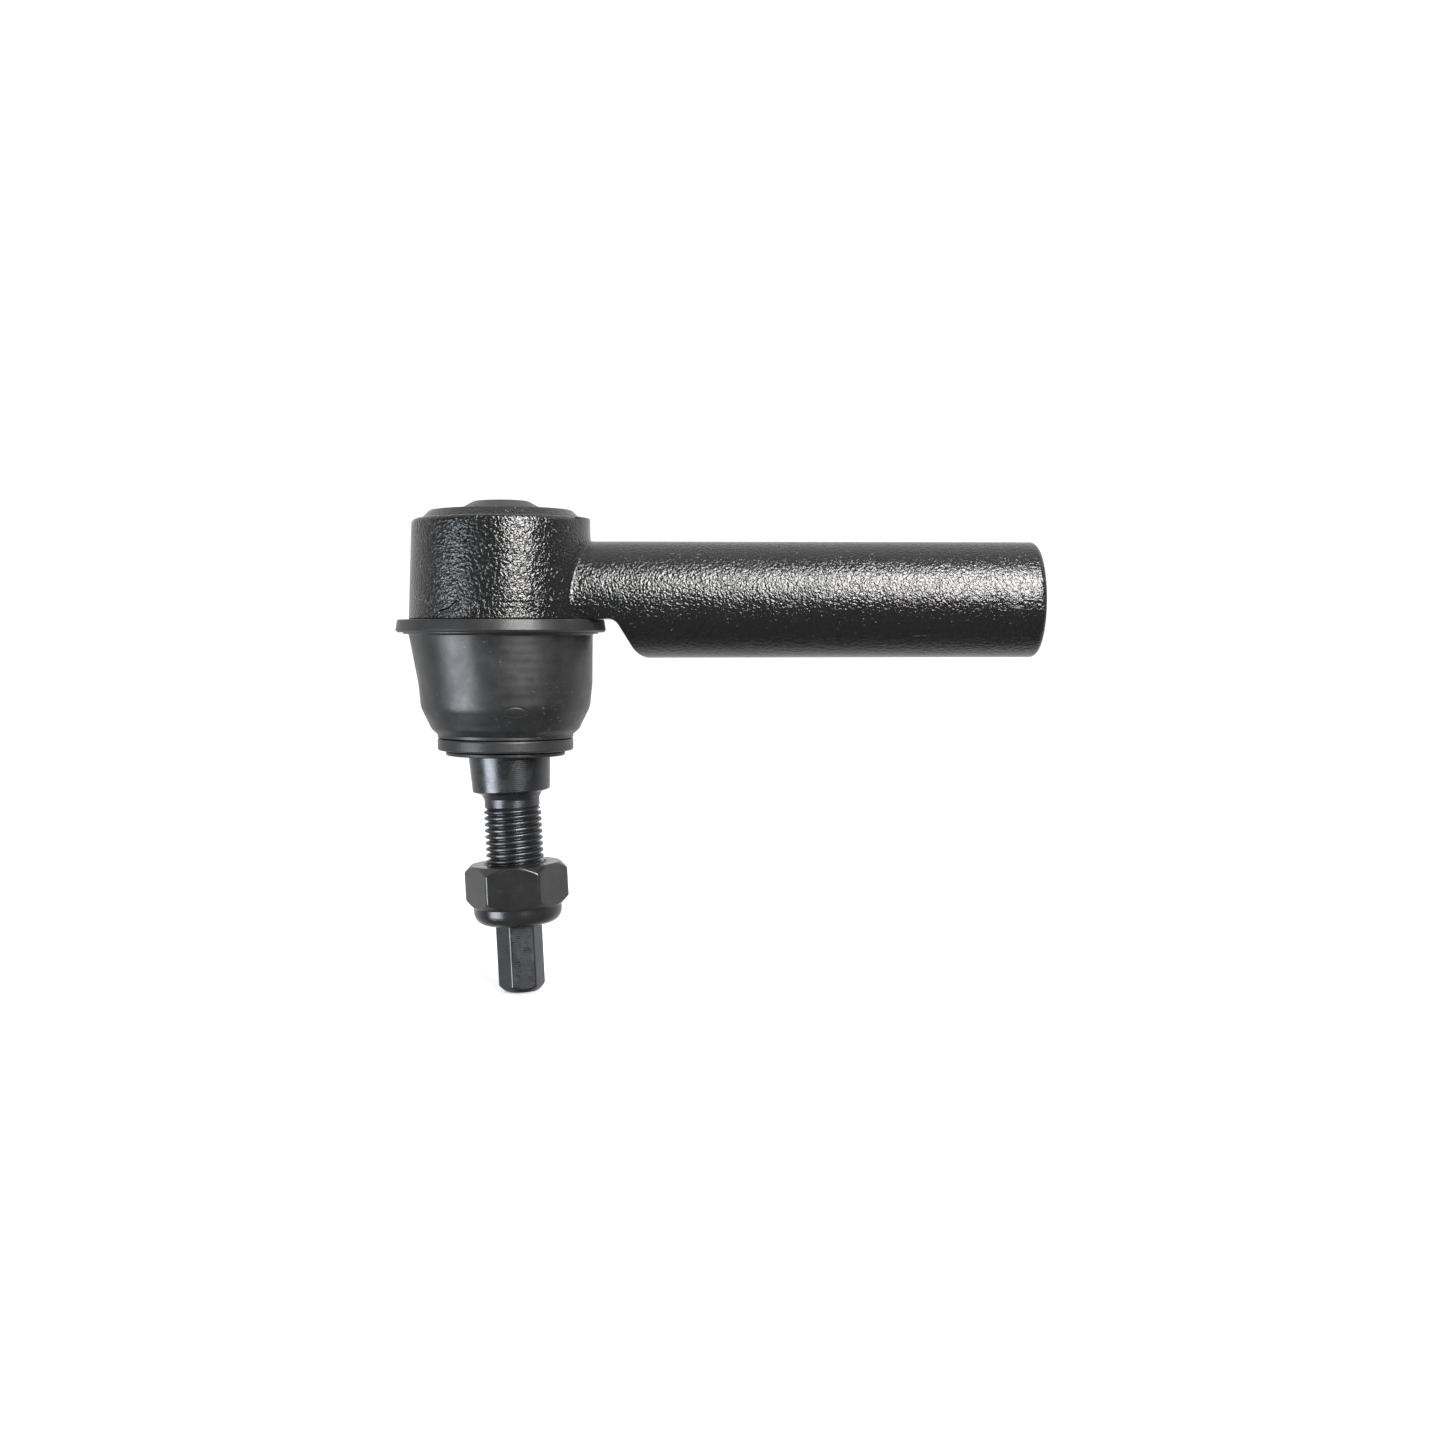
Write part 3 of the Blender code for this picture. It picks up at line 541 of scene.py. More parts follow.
def threaded(name, material, place, **sizes):
    """A thread's mesh made by the thread tree, as a closed shell in its place."""
    tree = bpy.data.node_groups.get("Thread") or thread_tree()
    holder = bpy.data.objects.new(name, bpy.data.meshes.new(name + "_seed"))
    bpy.context.scene.collection.objects.link(holder)
    modifier = holder.modifiers.new("thread", "NODES")
    modifier.node_group = tree
    wanted = dict(sizes, Material=material)
    for item in tree.interface.items_tree:
        if item.in_out == "INPUT" and item.name in wanted:
            modifier[item.identifier] = wanted[item.name]
    mesh = evaluated_mesh(holder, name)
    seed = holder.data
    bpy.data.objects.remove(holder)
    bpy.data.meshes.remove(seed)
    mesh.materials.clear()
    return finish_mesh(name, mesh, place)


# ---------------------------------------------------------------------------- finishes of the pieces


def gloss_paint(name, base, rough, grain, dent=False):
    """Black paint over a forged skin: worm-like grain, finer along the shank, with a few scuffs."""
    f = Finish(name)
    split = f.node("ShaderNodeSeparateXYZ", {0: f.place})
    along = f.math("ADD", split.outputs[0], REACH * MM)
    on_head = f.spread(along, 0.020, 0.030, 1.0, 0.0, smooth=True)
    fine = f.spread(f.noise(0.62, 1.0, 0.5, 0.6), 0.3, 0.7)
    worms = f.spread(f.noise(0.8, 1.2, 0.5, 1.0), 0.3, 0.7)
    skin = f.node("ShaderNodeMix", {0: on_head, 2: fine, 3: worms}, data_type="FLOAT").outputs[0]
    waves = f.noise(7.0, 2.0, 0.5)
    pits = f.spread(f.noise(0.3, 1.0, 0.5), 0.25, 0.75)
    normal = f.bump(waves, grain * 1.3)
    normal = f.bump(skin, grain, normal)
    normal = f.bump(pits, grain * 0.08, normal)
    if dent:
        wander = f.math("MULTIPLY", f.math("SUBTRACT", f.noise(3.0), 0.5), 0.0008)
        line = f.math("ADD", split.outputs[2], wander)
        here = f.math("MULTIPLY", f.spread(along, -0.002, 0.002), f.spread(along, 0.018, 0.014))
        for height, depth in ((-0.0008, 0.09), (-0.0022, 0.04)):
            step = f.spread(line, height - 0.0003, height + 0.0003, smooth=True)
            normal = f.bump(f.math("MULTIPLY", step, here), depth, normal)
        normal = f.bump(nick_height(f, split, along), 0.9, normal)
    scuff_line = f.noise(2.2, 4.0, 0.75, 1.4, f.mapped((0.22, 1.0, 1.0)))
    scuffs = f.spread(scuff_line, 0.64, 0.7)
    patch = f.spread(f.noise(14.0, 1.0), 0.5, 0.62)
    worn = f.math("MULTIPLY", scuffs, patch)
    paint = f.blend(worn, base, times(base, 20.0))
    cloud = f.spread(f.noise(16.0, 3.0), 0.3, 0.7, rough - 0.03, rough + 0.06)
    dull = f.math("ADD", cloud, f.math("MULTIPLY", worn, 0.2))
    return f.done(Base_Color=paint, Roughness=dull, Normal=normal, IOR=1.52)


def nick_height(f, split, along):
    """A short tick-shaped nick on the head's front face."""
    front = f.math("LESS_THAN", split.outputs[1], NICK_FRONT * MM)
    total = None
    for start, end in NICK:
        run = (end[0] - start[0]) * MM, (end[1] - start[1]) * MM
        square = run[0] ** 2 + run[1] ** 2
        dx = f.math("SUBTRACT", along, start[0] * MM)
        dz = f.math("SUBTRACT", split.outputs[2], start[1] * MM)
        dot = f.math("ADD", f.math("MULTIPLY", dx, run[0]), f.math("MULTIPLY", dz, run[1]))
        share = f.spread(f.math("DIVIDE", dot, square), 0.0, 1.0)
        off_x = f.math("SUBTRACT", dx, f.math("MULTIPLY", share, run[0]))
        off_z = f.math("SUBTRACT", dz, f.math("MULTIPLY", share, run[1]))
        gap = f.math("SQRT", f.math("ADD", f.math("POWER", off_x, 2.0), f.math("POWER", off_z, 2.0)))
        here = f.spread(gap, 0.00015, 0.0007, -1.0, 0.0, smooth=True)
        total = here if total is None else f.math("MINIMUM", total, here)
    return f.math("MULTIPLY", total, front)


def satin_paint(name, base, rough=0.34, grain=0.02):
    """Thin paint on pressed steel: faint orange peel, streaks along it and rubbed spots."""
    f = Finish(name)
    normal = f.bump(f.noise(1.6, 2.0), grain * 1.6)
    normal = f.bump(f.noise(0.6, 3.0, 0.7, 0.5, f.mapped((0.16, 0.16, 1.0))), grain * 1.2, normal)
    rubbed = f.spread(f.noise(3.5, 5.0, 0.7, 0.4), 0.6, 0.72)
    tone = f.blend(rubbed, base, times(base, 2.4))
    dull = f.spread(f.noise(7.0, 3.0), 0.3, 0.7, rough - 0.05, rough + 0.08)
    return f.done(Base_Color=tone, Roughness=dull, Normal=normal, IOR=1.4)


def boot_rubber(name, base, rough=0.36):
    """Moulded rubber: a soft bloom, faint hoop lines, an oval mould mark, dust and a few scratches."""
    f = Finish(name)
    height = f.axis_height(0.0)
    hoops = f.math("SINE", f.math("MULTIPLY", height, 2 * math.pi / 0.0021))
    normal = f.bump(hoops, 0.004)
    normal = f.bump(f.noise(5.0, 2.0), 0.05, normal)
    normal = f.bump(f.noise(0.35, 2.0), 0.006, normal)
    place = f.mapped(location=((REACH - MOULD_MARK[0]) * MM, 0.0, -MOULD_MARK[1] * MM))
    split = f.node("ShaderNodeSeparateXYZ", {0: place})
    wide = f.math("POWER", f.math("DIVIDE", split.outputs[0], MOULD_MARK_WIDE * MM), 2.0)
    tall = f.math("POWER", f.math("DIVIDE", split.outputs[2], MOULD_MARK_TALL * MM), 2.0)
    oval = f.math("ABSOLUTE", f.math("SUBTRACT", f.math("SQRT", f.math("ADD", wide, tall)), 1.0))
    near_side = f.math("LESS_THAN", split.outputs[1], 0.0)
    mark = f.math("MULTIPLY", f.spread(oval, 0.0, 0.25, -1.0, 0.0), near_side)
    normal = f.bump(mark, 0.08, normal)
    streaks = f.noise(1.4, 3.0, 0.7, 0.8, f.mapped((0.3, 1.0, 1.4)))
    scratch = f.math("MULTIPLY", f.spread(streaks, 0.66, 0.7), f.spread(f.noise(11.0, 1.0), 0.5, 0.6))
    specks = f.spread(f.noise(0.55, 2.0, 0.6), 0.66, 0.74)
    dust = f.math("MULTIPLY", specks, f.spread(f.noise(9.0, 2.0), 0.48, 0.62))
    bloom = f.spread(f.noise(6.0, 4.0, 0.65), 0.35, 0.75)
    tone = f.blend(bloom, times(base, 0.85), times(base, 1.45))
    tone = f.blend(f.math("MAXIMUM", f.math("MULTIPLY", scratch, 0.6), dust), tone, times(base, 9.0))
    dull = f.spread(f.noise(4.0, 4.0, 0.6), 0.3, 0.7, rough - 0.04, rough + 0.1)
    return f.done(Base_Color=tone, Roughness=dull, Normal=normal, IOR=1.52)


def oxide_steel(name, base, rough, lines, metallic=0.9, turned_pitch=0.28):
    """Black-oxide steel with turned lines round the stud's axis and small bright rubs."""
    f = Finish(name)
    height = f.axis_height(LEAN)
    wander = f.math("MULTIPLY", f.noise(2.0), 0.00008)
    turns = f.math("MULTIPLY", f.math("ADD", height, wander), 2 * math.pi / (turned_pitch * MM))
    hoops = f.math("SINE", turns)
    normal = f.bump(hoops, lines)
    normal = f.bump(f.noise(0.9, 3.0, 0.6), 0.007, normal)
    rub = f.spread(f.noise(1.2, 4.0, 0.7, 0.3), 0.64, 0.8)
    tone = f.blend(rub, base, times(base, 2.6))
    tone = f.blend(f.spread(f.noise(6.0, 2.0), 0.35, 0.65, 0.0, 0.45), tone, times(base, 0.6))
    dull = f.spread(f.noise(2.5, 4.0, 0.6), 0.3, 0.7, rough - 0.05, rough + 0.1)
    return f.done(Base_Color=tone, Roughness=dull, Normal=normal, Metallic=metallic)


def pale_plastic(name, base, rough=0.4):
    """Moulded nylon or acetal, slightly translucent, with fine flow marks."""
    f = Finish(name)
    tone = f.blend(f.spread(f.noise(4.0, 3.0), 0.35, 0.65), base, times(base, 0.82))
    normal = f.bump(f.noise(0.6, 2.0), 0.01)
    dull = f.spread(f.noise(2.0), 0.3, 0.7, rough - 0.05, rough + 0.07)
    return f.done(Base_Color=tone, Roughness=dull, Normal=normal, Subsurface_Weight=0.08)


def brushed_spring(name, base=(0.3, 0.29, 0.28)):
    f = Finish(name)
    normal = f.bump(f.noise(0.5, 3.0, 0.6, 0.0, f.mapped((0.2, 1.0, 1.0))), 0.01)
    tone = f.blend(f.spread(f.noise(3.0, 3.0), 0.4, 0.7), base, times(base, 0.6))
    dull = f.spread(f.noise(1.5, 3.0), 0.3, 0.7, 0.28, 0.42)
    return f.done(Base_Color=tone, Roughness=dull, Normal=normal, Metallic=1.0)


def white_ground(name, base):
    f = Finish(name)
    tone = f.blend(f.noise(90.0, 2.0), base, times(base, 0.97))
    normal = f.bump(f.noise(3.0, 2.0), 0.01)
    return f.done(
        Base_Color=tone, Roughness=0.75, Normal=normal, Specular_IOR_Level=0.2,
        Emission_Color=(1.0, 1.0, 1.0), Emission_Strength=0.67,
    )


def dress(piece, material, body, slot_name, *nodes):
    """Gives a new piece its finish and its body, and hides the CAD nodes it stands for. The slot name is not
    used.
    """
    piece.data.materials.clear()
    piece.data.materials.append(material)
    if isinstance(body, str):
        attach(piece, body)
    if nodes:
        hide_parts(*nodes)
    return piece


# ---------------------------------------------------------------------------- pieces


def head_section():
    return rounded([
        (0.0, LIP_TOP),
        (LIP_OUT_R, LIP_TOP, 0.35),
        (LIP_FOOT_R, SHOULDER, 0.2),
        (HEAD_TOP_R, SHOULDER, 1.3),
        (HEAD_LOW_R, HEAD_LOW, 0.25),
        (COLLAR_R, HEAD_LOW, 0.3),
        (COLLAR_R, COLLAR_LOW, 0.5),
        (0.0, COLLAR_LOW),
    ])


def head_radius(height):
    """Outside radius of the head's drafted side."""
    share = (height - HEAD_LOW) / (SHOULDER - HEAD_LOW)
    return HEAD_LOW_R + (HEAD_TOP_R - HEAD_LOW_R) * share


def shank_blank():
    """The shank about +Z, with rows close together where it meets the head."""
    close = [x * 0.6 for x in range(round(13 / 0.6), round(42 / 0.6))]
    far = list(range(43, round(REACH) - 3, 3))
    slope = (SHANK_ROOT_R - SHANK_END_R) / (REACH - SHANK_ROOT)
    side = [(SHANK_ROOT_R - slope * (x - SHANK_ROOT), x) for x in [SHANK_ROOT, *close, *far]]
    end = rounded([side[-1], (SHANK_END_R, REACH, 1.6), (0.0, REACH)], steps=8)
    profile = [(0.0, SHANK_ROOT), *side, *supported(end[1:])]
    return new_object("shank", *turned(profile, 168), Matrix.Rotation(math.pi / 2, 4, "Y"))


def relief_blank():
    """Cutter for the shank's underside, dense across so that its edges can be rounded."""
    top, foot, slope = HEAD_LOW + 0.05, -14.3, math.radians(58)
    start = 27.75
    end = start + (top - foot) / math.tan(slope)
    line = rounded([(0.0, top), (start, top, 2.9), (end, foot, 6.0), (end + 14, foot)], steps=10)
    dense = supported(line, gap=0.5, spacing=0.6)
    section = [(0.0, foot - 4), *dense, (end + 14, foot - 4)]
    lines = [18.0 * (row / 24 - 1) for row in range(49)]
    vertices = [(x, y, z) for y in lines for x, z in section]
    count = len(section)
    faces = [tuple(range(count)), tuple(range(48 * count, 49 * count))]
    for row in range(48):
        for here in range(count):
            there = (here + 1) % count
            low, high = row * count, (row + 1) * count
            faces.append((low + here, low + there, high + there, high + here))
    return new_object("relief", vertices, faces, Matrix.Identity(4))


def soften_junction(piece, fillet):
    """Moves the forging's skin out where the head and shank meet, on to a rounded fillet between them."""
    mesh = piece.data
    points = np.empty(len(mesh.vertices) * 3)
    mesh.vertices.foreach_get("co", points)
    points = points.reshape(-1, 3) / MM
    near = (points[:, 0] > 12) & (points[:, 0] < 36)
    near &= (points[:, 2] > HEAD_LOW - 0.1) & (points[:, 2] < SHOULDER)
    reach = np.hypot(points[:, 1], points[:, 2])
    near &= (np.abs(head_gap(points)) < 3.5) & (reach < 22)
    moved = points[near]
    for _ in range(12):
        value = junction_field(moved, fillet)
        slope = field_slope(moved, fillet)
        moved = moved - slope * (value / np.maximum((slope ** 2).sum(axis=1), 0.2))[:, None] * 0.9
    shift = moved - points[near]
    edge = np.clip((points[near][:, 2] - HEAD_LOW - 0.2) / 2.0, 0.0, 1.0)
    points[near] += shift * edge[:, None]
    mesh.vertices.foreach_set("co", (points * MM).ravel())
    mesh.update()


def head_gap(points):
    return (np.hypot(points[:, 0], points[:, 1]) - head_radius(points[:, 2])) * math.cos(math.radians(1.5))


def shank_gap(points):
    slope = (SHANK_ROOT_R - SHANK_END_R) / (REACH - SHANK_ROOT)
    return np.hypot(points[:, 1], points[:, 2]) - (SHANK_ROOT_R - slope * (points[:, 0] - SHANK_ROOT))


def junction_field(points, fillet):
    """Distance outside the head and shank together, with a fillet where they meet."""
    return soft_low(head_gap(points), shank_gap(points), fillet)


def field_slope(points, fillet):
    small = 0.01
    columns = []
    for axis in range(3):
        step = np.zeros(3)
        step[axis] = small
        ahead = junction_field(points + step, fillet)
        behind = junction_field(points - step, fillet)
        columns.append((ahead - behind) / (2 * small))
    return np.stack(columns, axis=1)


def make_housing(settings):
    """The forging, with its bores, one of them for the thread in the shank."""
    skin = supported(head_section(), spacing=0.8)
    head = new_object("housing_skin", *turned(skin, 240), Matrix.Identity(4))
    shank = cut(shank_blank(), "DIFFERENCE", relief_blank())
    cut(head, "UNION", shank)
    soften_junction(head, settings.fillet / MM)
    mouth_r = 11.9
    bore = [
        (0.0, LIP_TOP + 1), (LIP_IN_R, LIP_TOP + 1), (LIP_IN_R, LIP_LOW), (PLATE_BORE_R, LIP_LOW),
        (PLATE_BORE_R, PLATE_LOW - 0.3), (HEAD_BORE_R, PLATE_LOW - 0.3), (HEAD_BORE_R, SOCKET_FLOOR),
        (mouth_r, SOCKET_FLOOR), (mouth_r + 2.9, COLLAR_LOW - 1), (0.0, COLLAR_LOW - 1),
    ]
    head_bore = new_object("head_bore", *turned(bore, 240), Matrix.Identity(4))
    wall_r = ROD_MAJOR_R + 0.25
    floor = REACH - ROD_BORE_DEPTH
    rod_bore = rounded([
        (0.0, REACH + 1), (ROD_MAJOR_R + 2.0, REACH + 1), (ROD_MAJOR_R + 0.1, REACH - 0.9),
        (wall_r, REACH - 1.0), (wall_r, floor + 6), (ROD_MINOR_R, floor + 6),
        (ROD_MINOR_R, floor), (0.0, floor - 4.9),
    ])
    drill = new_object("rod_bore", *turned(rod_bore, 96), Matrix.Rotation(math.pi / 2, 4, "Y"))
    cut(head, "DIFFERENCE", head_bore, drill)
    head.data.transform(Matrix.Translation((-REACH * MM, 0, 0)))
    crease(head, 30)
    return head


def ring_piece(name, corners, segments, place=BALL, spacing=1.5, bend=None):
    """A ring turned from a section with rounded corners."""
    section = supported(rounded(corners, closed=True), closed=True, gap=0.08, spacing=spacing)
    return crease(new_object(name, *turned(section, segments, closed=True), place, bend), 40)


def make_cover(segments):
    """Pressed plate with its dome, under the rolled lip."""
    top = rounded([
        (0.0, 24.0), (6.7, 24.0, 2.0), (14.0, PLATE_TOP, 1.5), (18.0, PLATE_TOP, 0.3),
        (18.0, PLATE_LOW, 0.2), (13.5, PLATE_LOW, 1.0), (6.2, 22.2, 1.0), (0.0, 22.2),
    ], steps=10)
    return crease(new_object("cover_plate_detail", *turned(supported(top, spacing=1.0), segments)), 40)


def make_top_ring(segments):
    flare, sheet, bevel = 0.4, 1.1, 0.5
    low_in = RING_R - sheet
    corners = [
        (RING_IN_R, RING_TOP, 0.15), (RING_R - flare, RING_TOP, 0.35), (RING_R, RING_LOW + bevel, 0.25),
        (RING_R - bevel, RING_LOW, 0.2), (low_in, RING_LOW, 0.15), (low_in - flare, RING_TOP - sheet, 0.3),
        (RING_IN_R, RING_TOP - sheet, 0.15),
    ]
    return ring_piece("boot_clamp_ring", corners, segments)


BOOT_TOP, FLANGE_LOW, FLANGE_R, WALL_R = -6.5, -8.4, 23.8, 22.4
BOOT_SPLIT = -19.0
FOOT_SHIFT = 1.15                # the level foot sits over towards the shank


def slid_over(points):
    """Slides a level piece round the stud over to the foot's place, and its bore over to the leaning stud."""
    x, y, z = points.T
    radius = np.hypot(x, y)
    outer = FOOT_SHIFT * np.clip((FLANGE_LOW - z) / 12.0, 0.0, 1.0)
    bore = -z * math.tan(LEAN)
    share = np.where(z < -31.0, np.clip((radius - 10.8) / 1.6, 0.0, 1.0), 1.0)
    return np.stack([x + outer * share + bore * (1 - share), y, z], axis=1)


def make_boot(segments):
    """The boot's upper wall and its cup, two closed rings that share the circle where they meet."""
    wall_r = WALL_R - 1.8 * (FLANGE_LOW - BOOT_SPLIT) / (FLANGE_LOW + 26.05)
    upper = rounded([
        (RING_IN_R, BOOT_TOP, 0.3), (FLANGE_R, BOOT_TOP, 0.3),
        (FLANGE_R, FLANGE_LOW, 0.4), (WALL_R, FLANGE_LOW, 0.4),
        (wall_r, BOOT_SPLIT), (wall_r - 1.9, BOOT_SPLIT), (WALL_R - 1.9, FLANGE_LOW - 0.6, 0.8),
        (RING_IN_R, FLANGE_LOW + 0.9, 0.3),
    ], closed=True)
    lower = rounded([
        (wall_r, BOOT_SPLIT), (20.6, -26.05, 6.0), (18.0, -31.35, 1.9), (16.5, -32.75, 0.3),
        (16.5, -33.45, 0.1), (12.6, -33.45), (12.6, -36.4, 0.3), (10.74, -36.4, 0.3),
        (10.74, -31.45, 0.4), (14.0, -31.45, 0.6), (16.1, -30.4, 1.0),
        (18.7, -26.05, 4.1), (wall_r - 1.9, BOOT_SPLIT),
    ], closed=True, steps=10)
    pieces = []
    for name, section in (("dust_boot_wall", upper), ("dust_boot_cup", lower)):
        filled = supported(section, closed=True, gap=0.1, spacing=0.8)
        pieces.append(crease(new_object(name, *turned(filled, segments, closed=True), BALL, slid_over), 50))
    return pieces


def make_foot_ring(segments):
    corners = [
        (12.9, FOOT_TOP, 0.2), (FOOT_RING_R, FOOT_TOP, 0.45),
        (FOOT_RING_R, FOOT_LOW, 0.5), (12.9, FOOT_LOW, 0.2),
    ]
    return ring_piece("boot_foot_ring", corners, segments, bend=slid_over)


def make_seal(segments):
    corners = [(10.33, SEAL_TOP, 0.2), (14.5, SEAL_TOP, 0.25), (14.5, SEAL_LOW, 0.35), (10.33, SEAL_LOW, 0.2)]
    return ring_piece("stud_lip_seal", corners, segments, bend=slid_over)


def seat_radius(distance):
    """Radius of the stud's taper that far below the ball's centre: one in eight on the diameter."""
    return 9.93 - (distance - 38.1) / 16


def make_stud(settings):
    """Ball, neck, taper and undercut, the thread, and the hexagonal end."""
    flat = math.acos(4.0 / BALL_R)
    neck = -math.acos(NECK_R / BALL_R)
    ball = arc(BALL_R, flat, neck, 40)
    shaft = rounded([
        ball[-1], (NECK_R, NECK_LOW, 6.0), (seat_radius(30.0), -30.0, 6.0),
        (seat_radius(-TAPER_LOW), TAPER_LOW + 0.1, 0.3), (7.4, TAPER_LOW - 0.6, 0.4),
        (6.7, TAPER_LOW - 1.9, 1.2), (6.7, THREAD_TOP, 0.15), (5.9, THREAD_TOP - 0.8),
        (0.0, THREAD_TOP - 0.8),
    ], steps=8)
    profile = supported([(0.0, ball[0][1]), *ball, *shaft[1:]], spacing=1.5)
    body = new_object("stud_body", *turned(profile, 192), STUD)
    crease(body, 40)
    thread = threaded(
        "stud_thread", None, STUD, Low=THREAD_LOW, High=THREAD_TOP + 0.1,
        Root=THREAD_ROOT_R - 0.06, Depth=THREAD_R - THREAD_ROOT_R + 0.05,
        Pitch=PITCH, Fade=1.1, Wall=0.0, Around=96, Steps=settings.thread_steps,
    )
    corner = DRIVE_FLATS / 2 / math.cos(math.pi / 6)
    tip = rounded([
        (0.0, THREAD_LOW + 1.0), (corner + 0.3, THREAD_LOW + 1.0), (corner + 0.3, DRIVE_LOW + 1.8, 0.3),
        (corner - 1.5, DRIVE_LOW, 0.25), (0.0, DRIVE_LOW),
    ])
    tip = [(min(r, THREAD_ROOT_R - 0.2) if z > THREAD_LOW else r, z) for r, z in tip]
    hexagon = hexagonal(DRIVE_FLATS, DRIVE_TURN, 0.45)
    filled = supported(tip, gap=0.06, spacing=0.25)
    drive = new_object("stud_drive", *turned(filled, 240, shape=hexagon), STUD)
    crease(drive, 45)
    return joined("ball_stud_detail", [body, thread, drive])


def make_nut(settings):
    """Hexagon nut with its chamfered corners, rolled collar and thread."""
    wide = NUT_FLATS / 2 / math.cos(math.pi / 6) + 0.5
    drop = NUT_CORNER_DROP * (wide - NUT_FACE_R) / (wide - 0.5 - NUT_FACE_R)
    bore_r = THREAD_R + 0.45
    section = rounded([
        (bore_r, NUT_TOP - 0.5), (7.92, NUT_TOP, 0.1), (NUT_FACE_R, NUT_TOP, 0.3), (wide, NUT_TOP - drop),
        (wide, NUT_COLLAR + drop), (NUT_COLLAR_R, NUT_COLLAR, 0.5), (NUT_COLLAR_R, NUT_LOW, 3.2),
        (7.3, NUT_LOW, 0.3), (7.3, NUT_LOW + 1.1, 0.1), (9.0, NUT_LOW + 1.1, 0.1),
        (9.0, NUT_COLLAR + 0.3, 0.1), (bore_r, NUT_COLLAR + 0.3, 0.1),
    ], closed=True, steps=10)
    filled = supported(section, closed=True, gap=0.05, spacing=0.12)
    hexagon = hexagonal(NUT_FLATS, NUT_TURN, 0.5)
    body = new_object("nut_body", *turned(filled, 288, closed=True, shape=hexagon), STUD)
    crease(body, 45)
    thread = threaded(
        "nut_thread", None, STUD, Low=NUT_COLLAR + 0.3, High=NUT_TOP - 0.5, Root=THREAD_R + 0.3, Depth=-0.85,
        Pitch=PITCH, Fade=1.2, Wall=bore_r + 0.2, Around=96, Steps=settings.thread_steps,
    )
    return joined("lock_nut_detail", [body, thread])


def make_insert(segments):
    corners = [(7.3, -77.4, 0.3), (8.7, -77.4, 0.2), (8.7, NUT_COLLAR, 0.2), (7.3, NUT_COLLAR, 0.3)]
    return ring_piece("nylon_locking_ring", corners, segments, STUD)


def make_rod_thread():
    """The shank's female thread, a thin sleeve in the forging."""
    floor = REACH - ROD_BORE_DEPTH
    return threaded(
        "rod_thread", None, SHANK, Low=floor + 6.0, High=REACH - 1.0,
        Root=ROD_MAJOR_R, Depth=ROD_MINOR_R - ROD_MAJOR_R,
        Pitch=ROD_PITCH, Fade=1.5, Wall=ROD_MAJOR_R + 0.24, Around=72, Steps=10,
    )


# ---------------------------------------------------------------------------- studio


def area_light(name, azimuth, elevation, distance, size, power, tint):
    """A soft light aimed at the object. Azimuth 0 is the camera's side and 90 is +X."""
    target = Vector((-0.1, 0.0, -0.03))
    a, e = math.radians(azimuth), math.radians(elevation)
    way = Vector((math.sin(a) * math.cos(e), -math.cos(a) * math.cos(e), math.sin(e)))
    light = bpy.data.lights.new(name, "AREA")
    light.shape = "RECTANGLE"
    light.size, light.size_y = size
    light.energy = power
    light.color = tint
    holder = bpy.data.objects.new(name, light)
    holder.location = target + way * distance
    holder.rotation_euler = way.to_track_quat("Z", "Y").to_euler()
    bpy.context.scene.collection.objects.link(holder)
    return holder


def make_ground(material):
    """Floor under the stud's end, which curves up into a backdrop far behind."""
    low = CAD_BOX[0][2] - 0.0004
    front, back, radius, top, half = -1.6, 0.9, 0.6, 1.5, 2.0
    line = [(front + (back - front) * step / 8, low) for step in range(8)]
    for step in range(13):
        angle = math.radians(step * 7.5)
        line.append((back + radius * math.sin(angle), low + radius * (1 - math.cos(angle))))
    line += [(back + radius, top)]
    vertices = [(x, y, z) for x in (-half, -half / 2, 0.0, half / 2, half) for y, z in line]
    count = len(line)
    faces = []
    for strip in range(4):
        for row in range(count - 1):
            first = strip * count + row
            faces.append((first, first + count, first + count + 1, first + 1))
    mesh = bpy.data.meshes.new("studio_ground")
    mesh.from_pydata(vertices, [], faces)
    mesh.shade_smooth()
    mesh.materials.append(material)
    ground = bpy.data.objects.new("studio_ground", mesh)
    bpy.context.scene.collection.objects.link(ground)
    ground.visible_glossy = False
    ground.visible_shadow = False


def make_sky(strength):
    """White behind and above the object, and dark in front of it."""
    world = bpy.data.worlds.new("studio_sky")
    world.use_nodes = True
    bpy.context.scene.world = world
    tree = world.node_tree
    background = tree.nodes["Background"]
    way = tree.nodes.new("ShaderNodeSeparateXYZ")
    tree.links.new(tree.nodes.new("ShaderNodeTexCoord").outputs["Generated"], way.inputs[0])
    ramp = tree.nodes.new("ShaderNodeMapRange")
    ramp.interpolation_type = "SMOOTHSTEP"
    for key, value in (("From Min", -0.3), ("From Max", 0.5), ("To Min", 0.03), ("To Max", 1.0)):
        ramp.inputs[key].default_value = value
    tilt = tree.nodes.new("ShaderNodeMath")
    tilt.operation = "MULTIPLY_ADD"
    tilt.inputs[1].default_value = 0.35
    tree.links.new(way.outputs[2], tilt.inputs[0])
    tree.links.new(way.outputs[1], tilt.inputs[2])
    tree.links.new(tilt.outputs[0], ramp.inputs["Value"])
    tree.links.new(ramp.outputs[0], background.inputs["Color"])
    background.inputs["Strength"].default_value = strength


def make_camera(lens):
    camera = bpy.data.cameras.new("camera")
    camera.lens = lens
    camera.sensor_width = SENSOR
    camera.shift_x, camera.shift_y = CAMERA_SHIFT
    camera.clip_start = 0.01
    holder = bpy.data.objects.new("camera", camera)
    holder.location = CAMERA_PLACE
    holder.rotation_euler = (math.radians(90), 0.0, 0.0)
    bpy.context.scene.collection.objects.link(holder)
    bpy.context.scene.camera = holder


# ---------------------------------------------------------------------------- operators


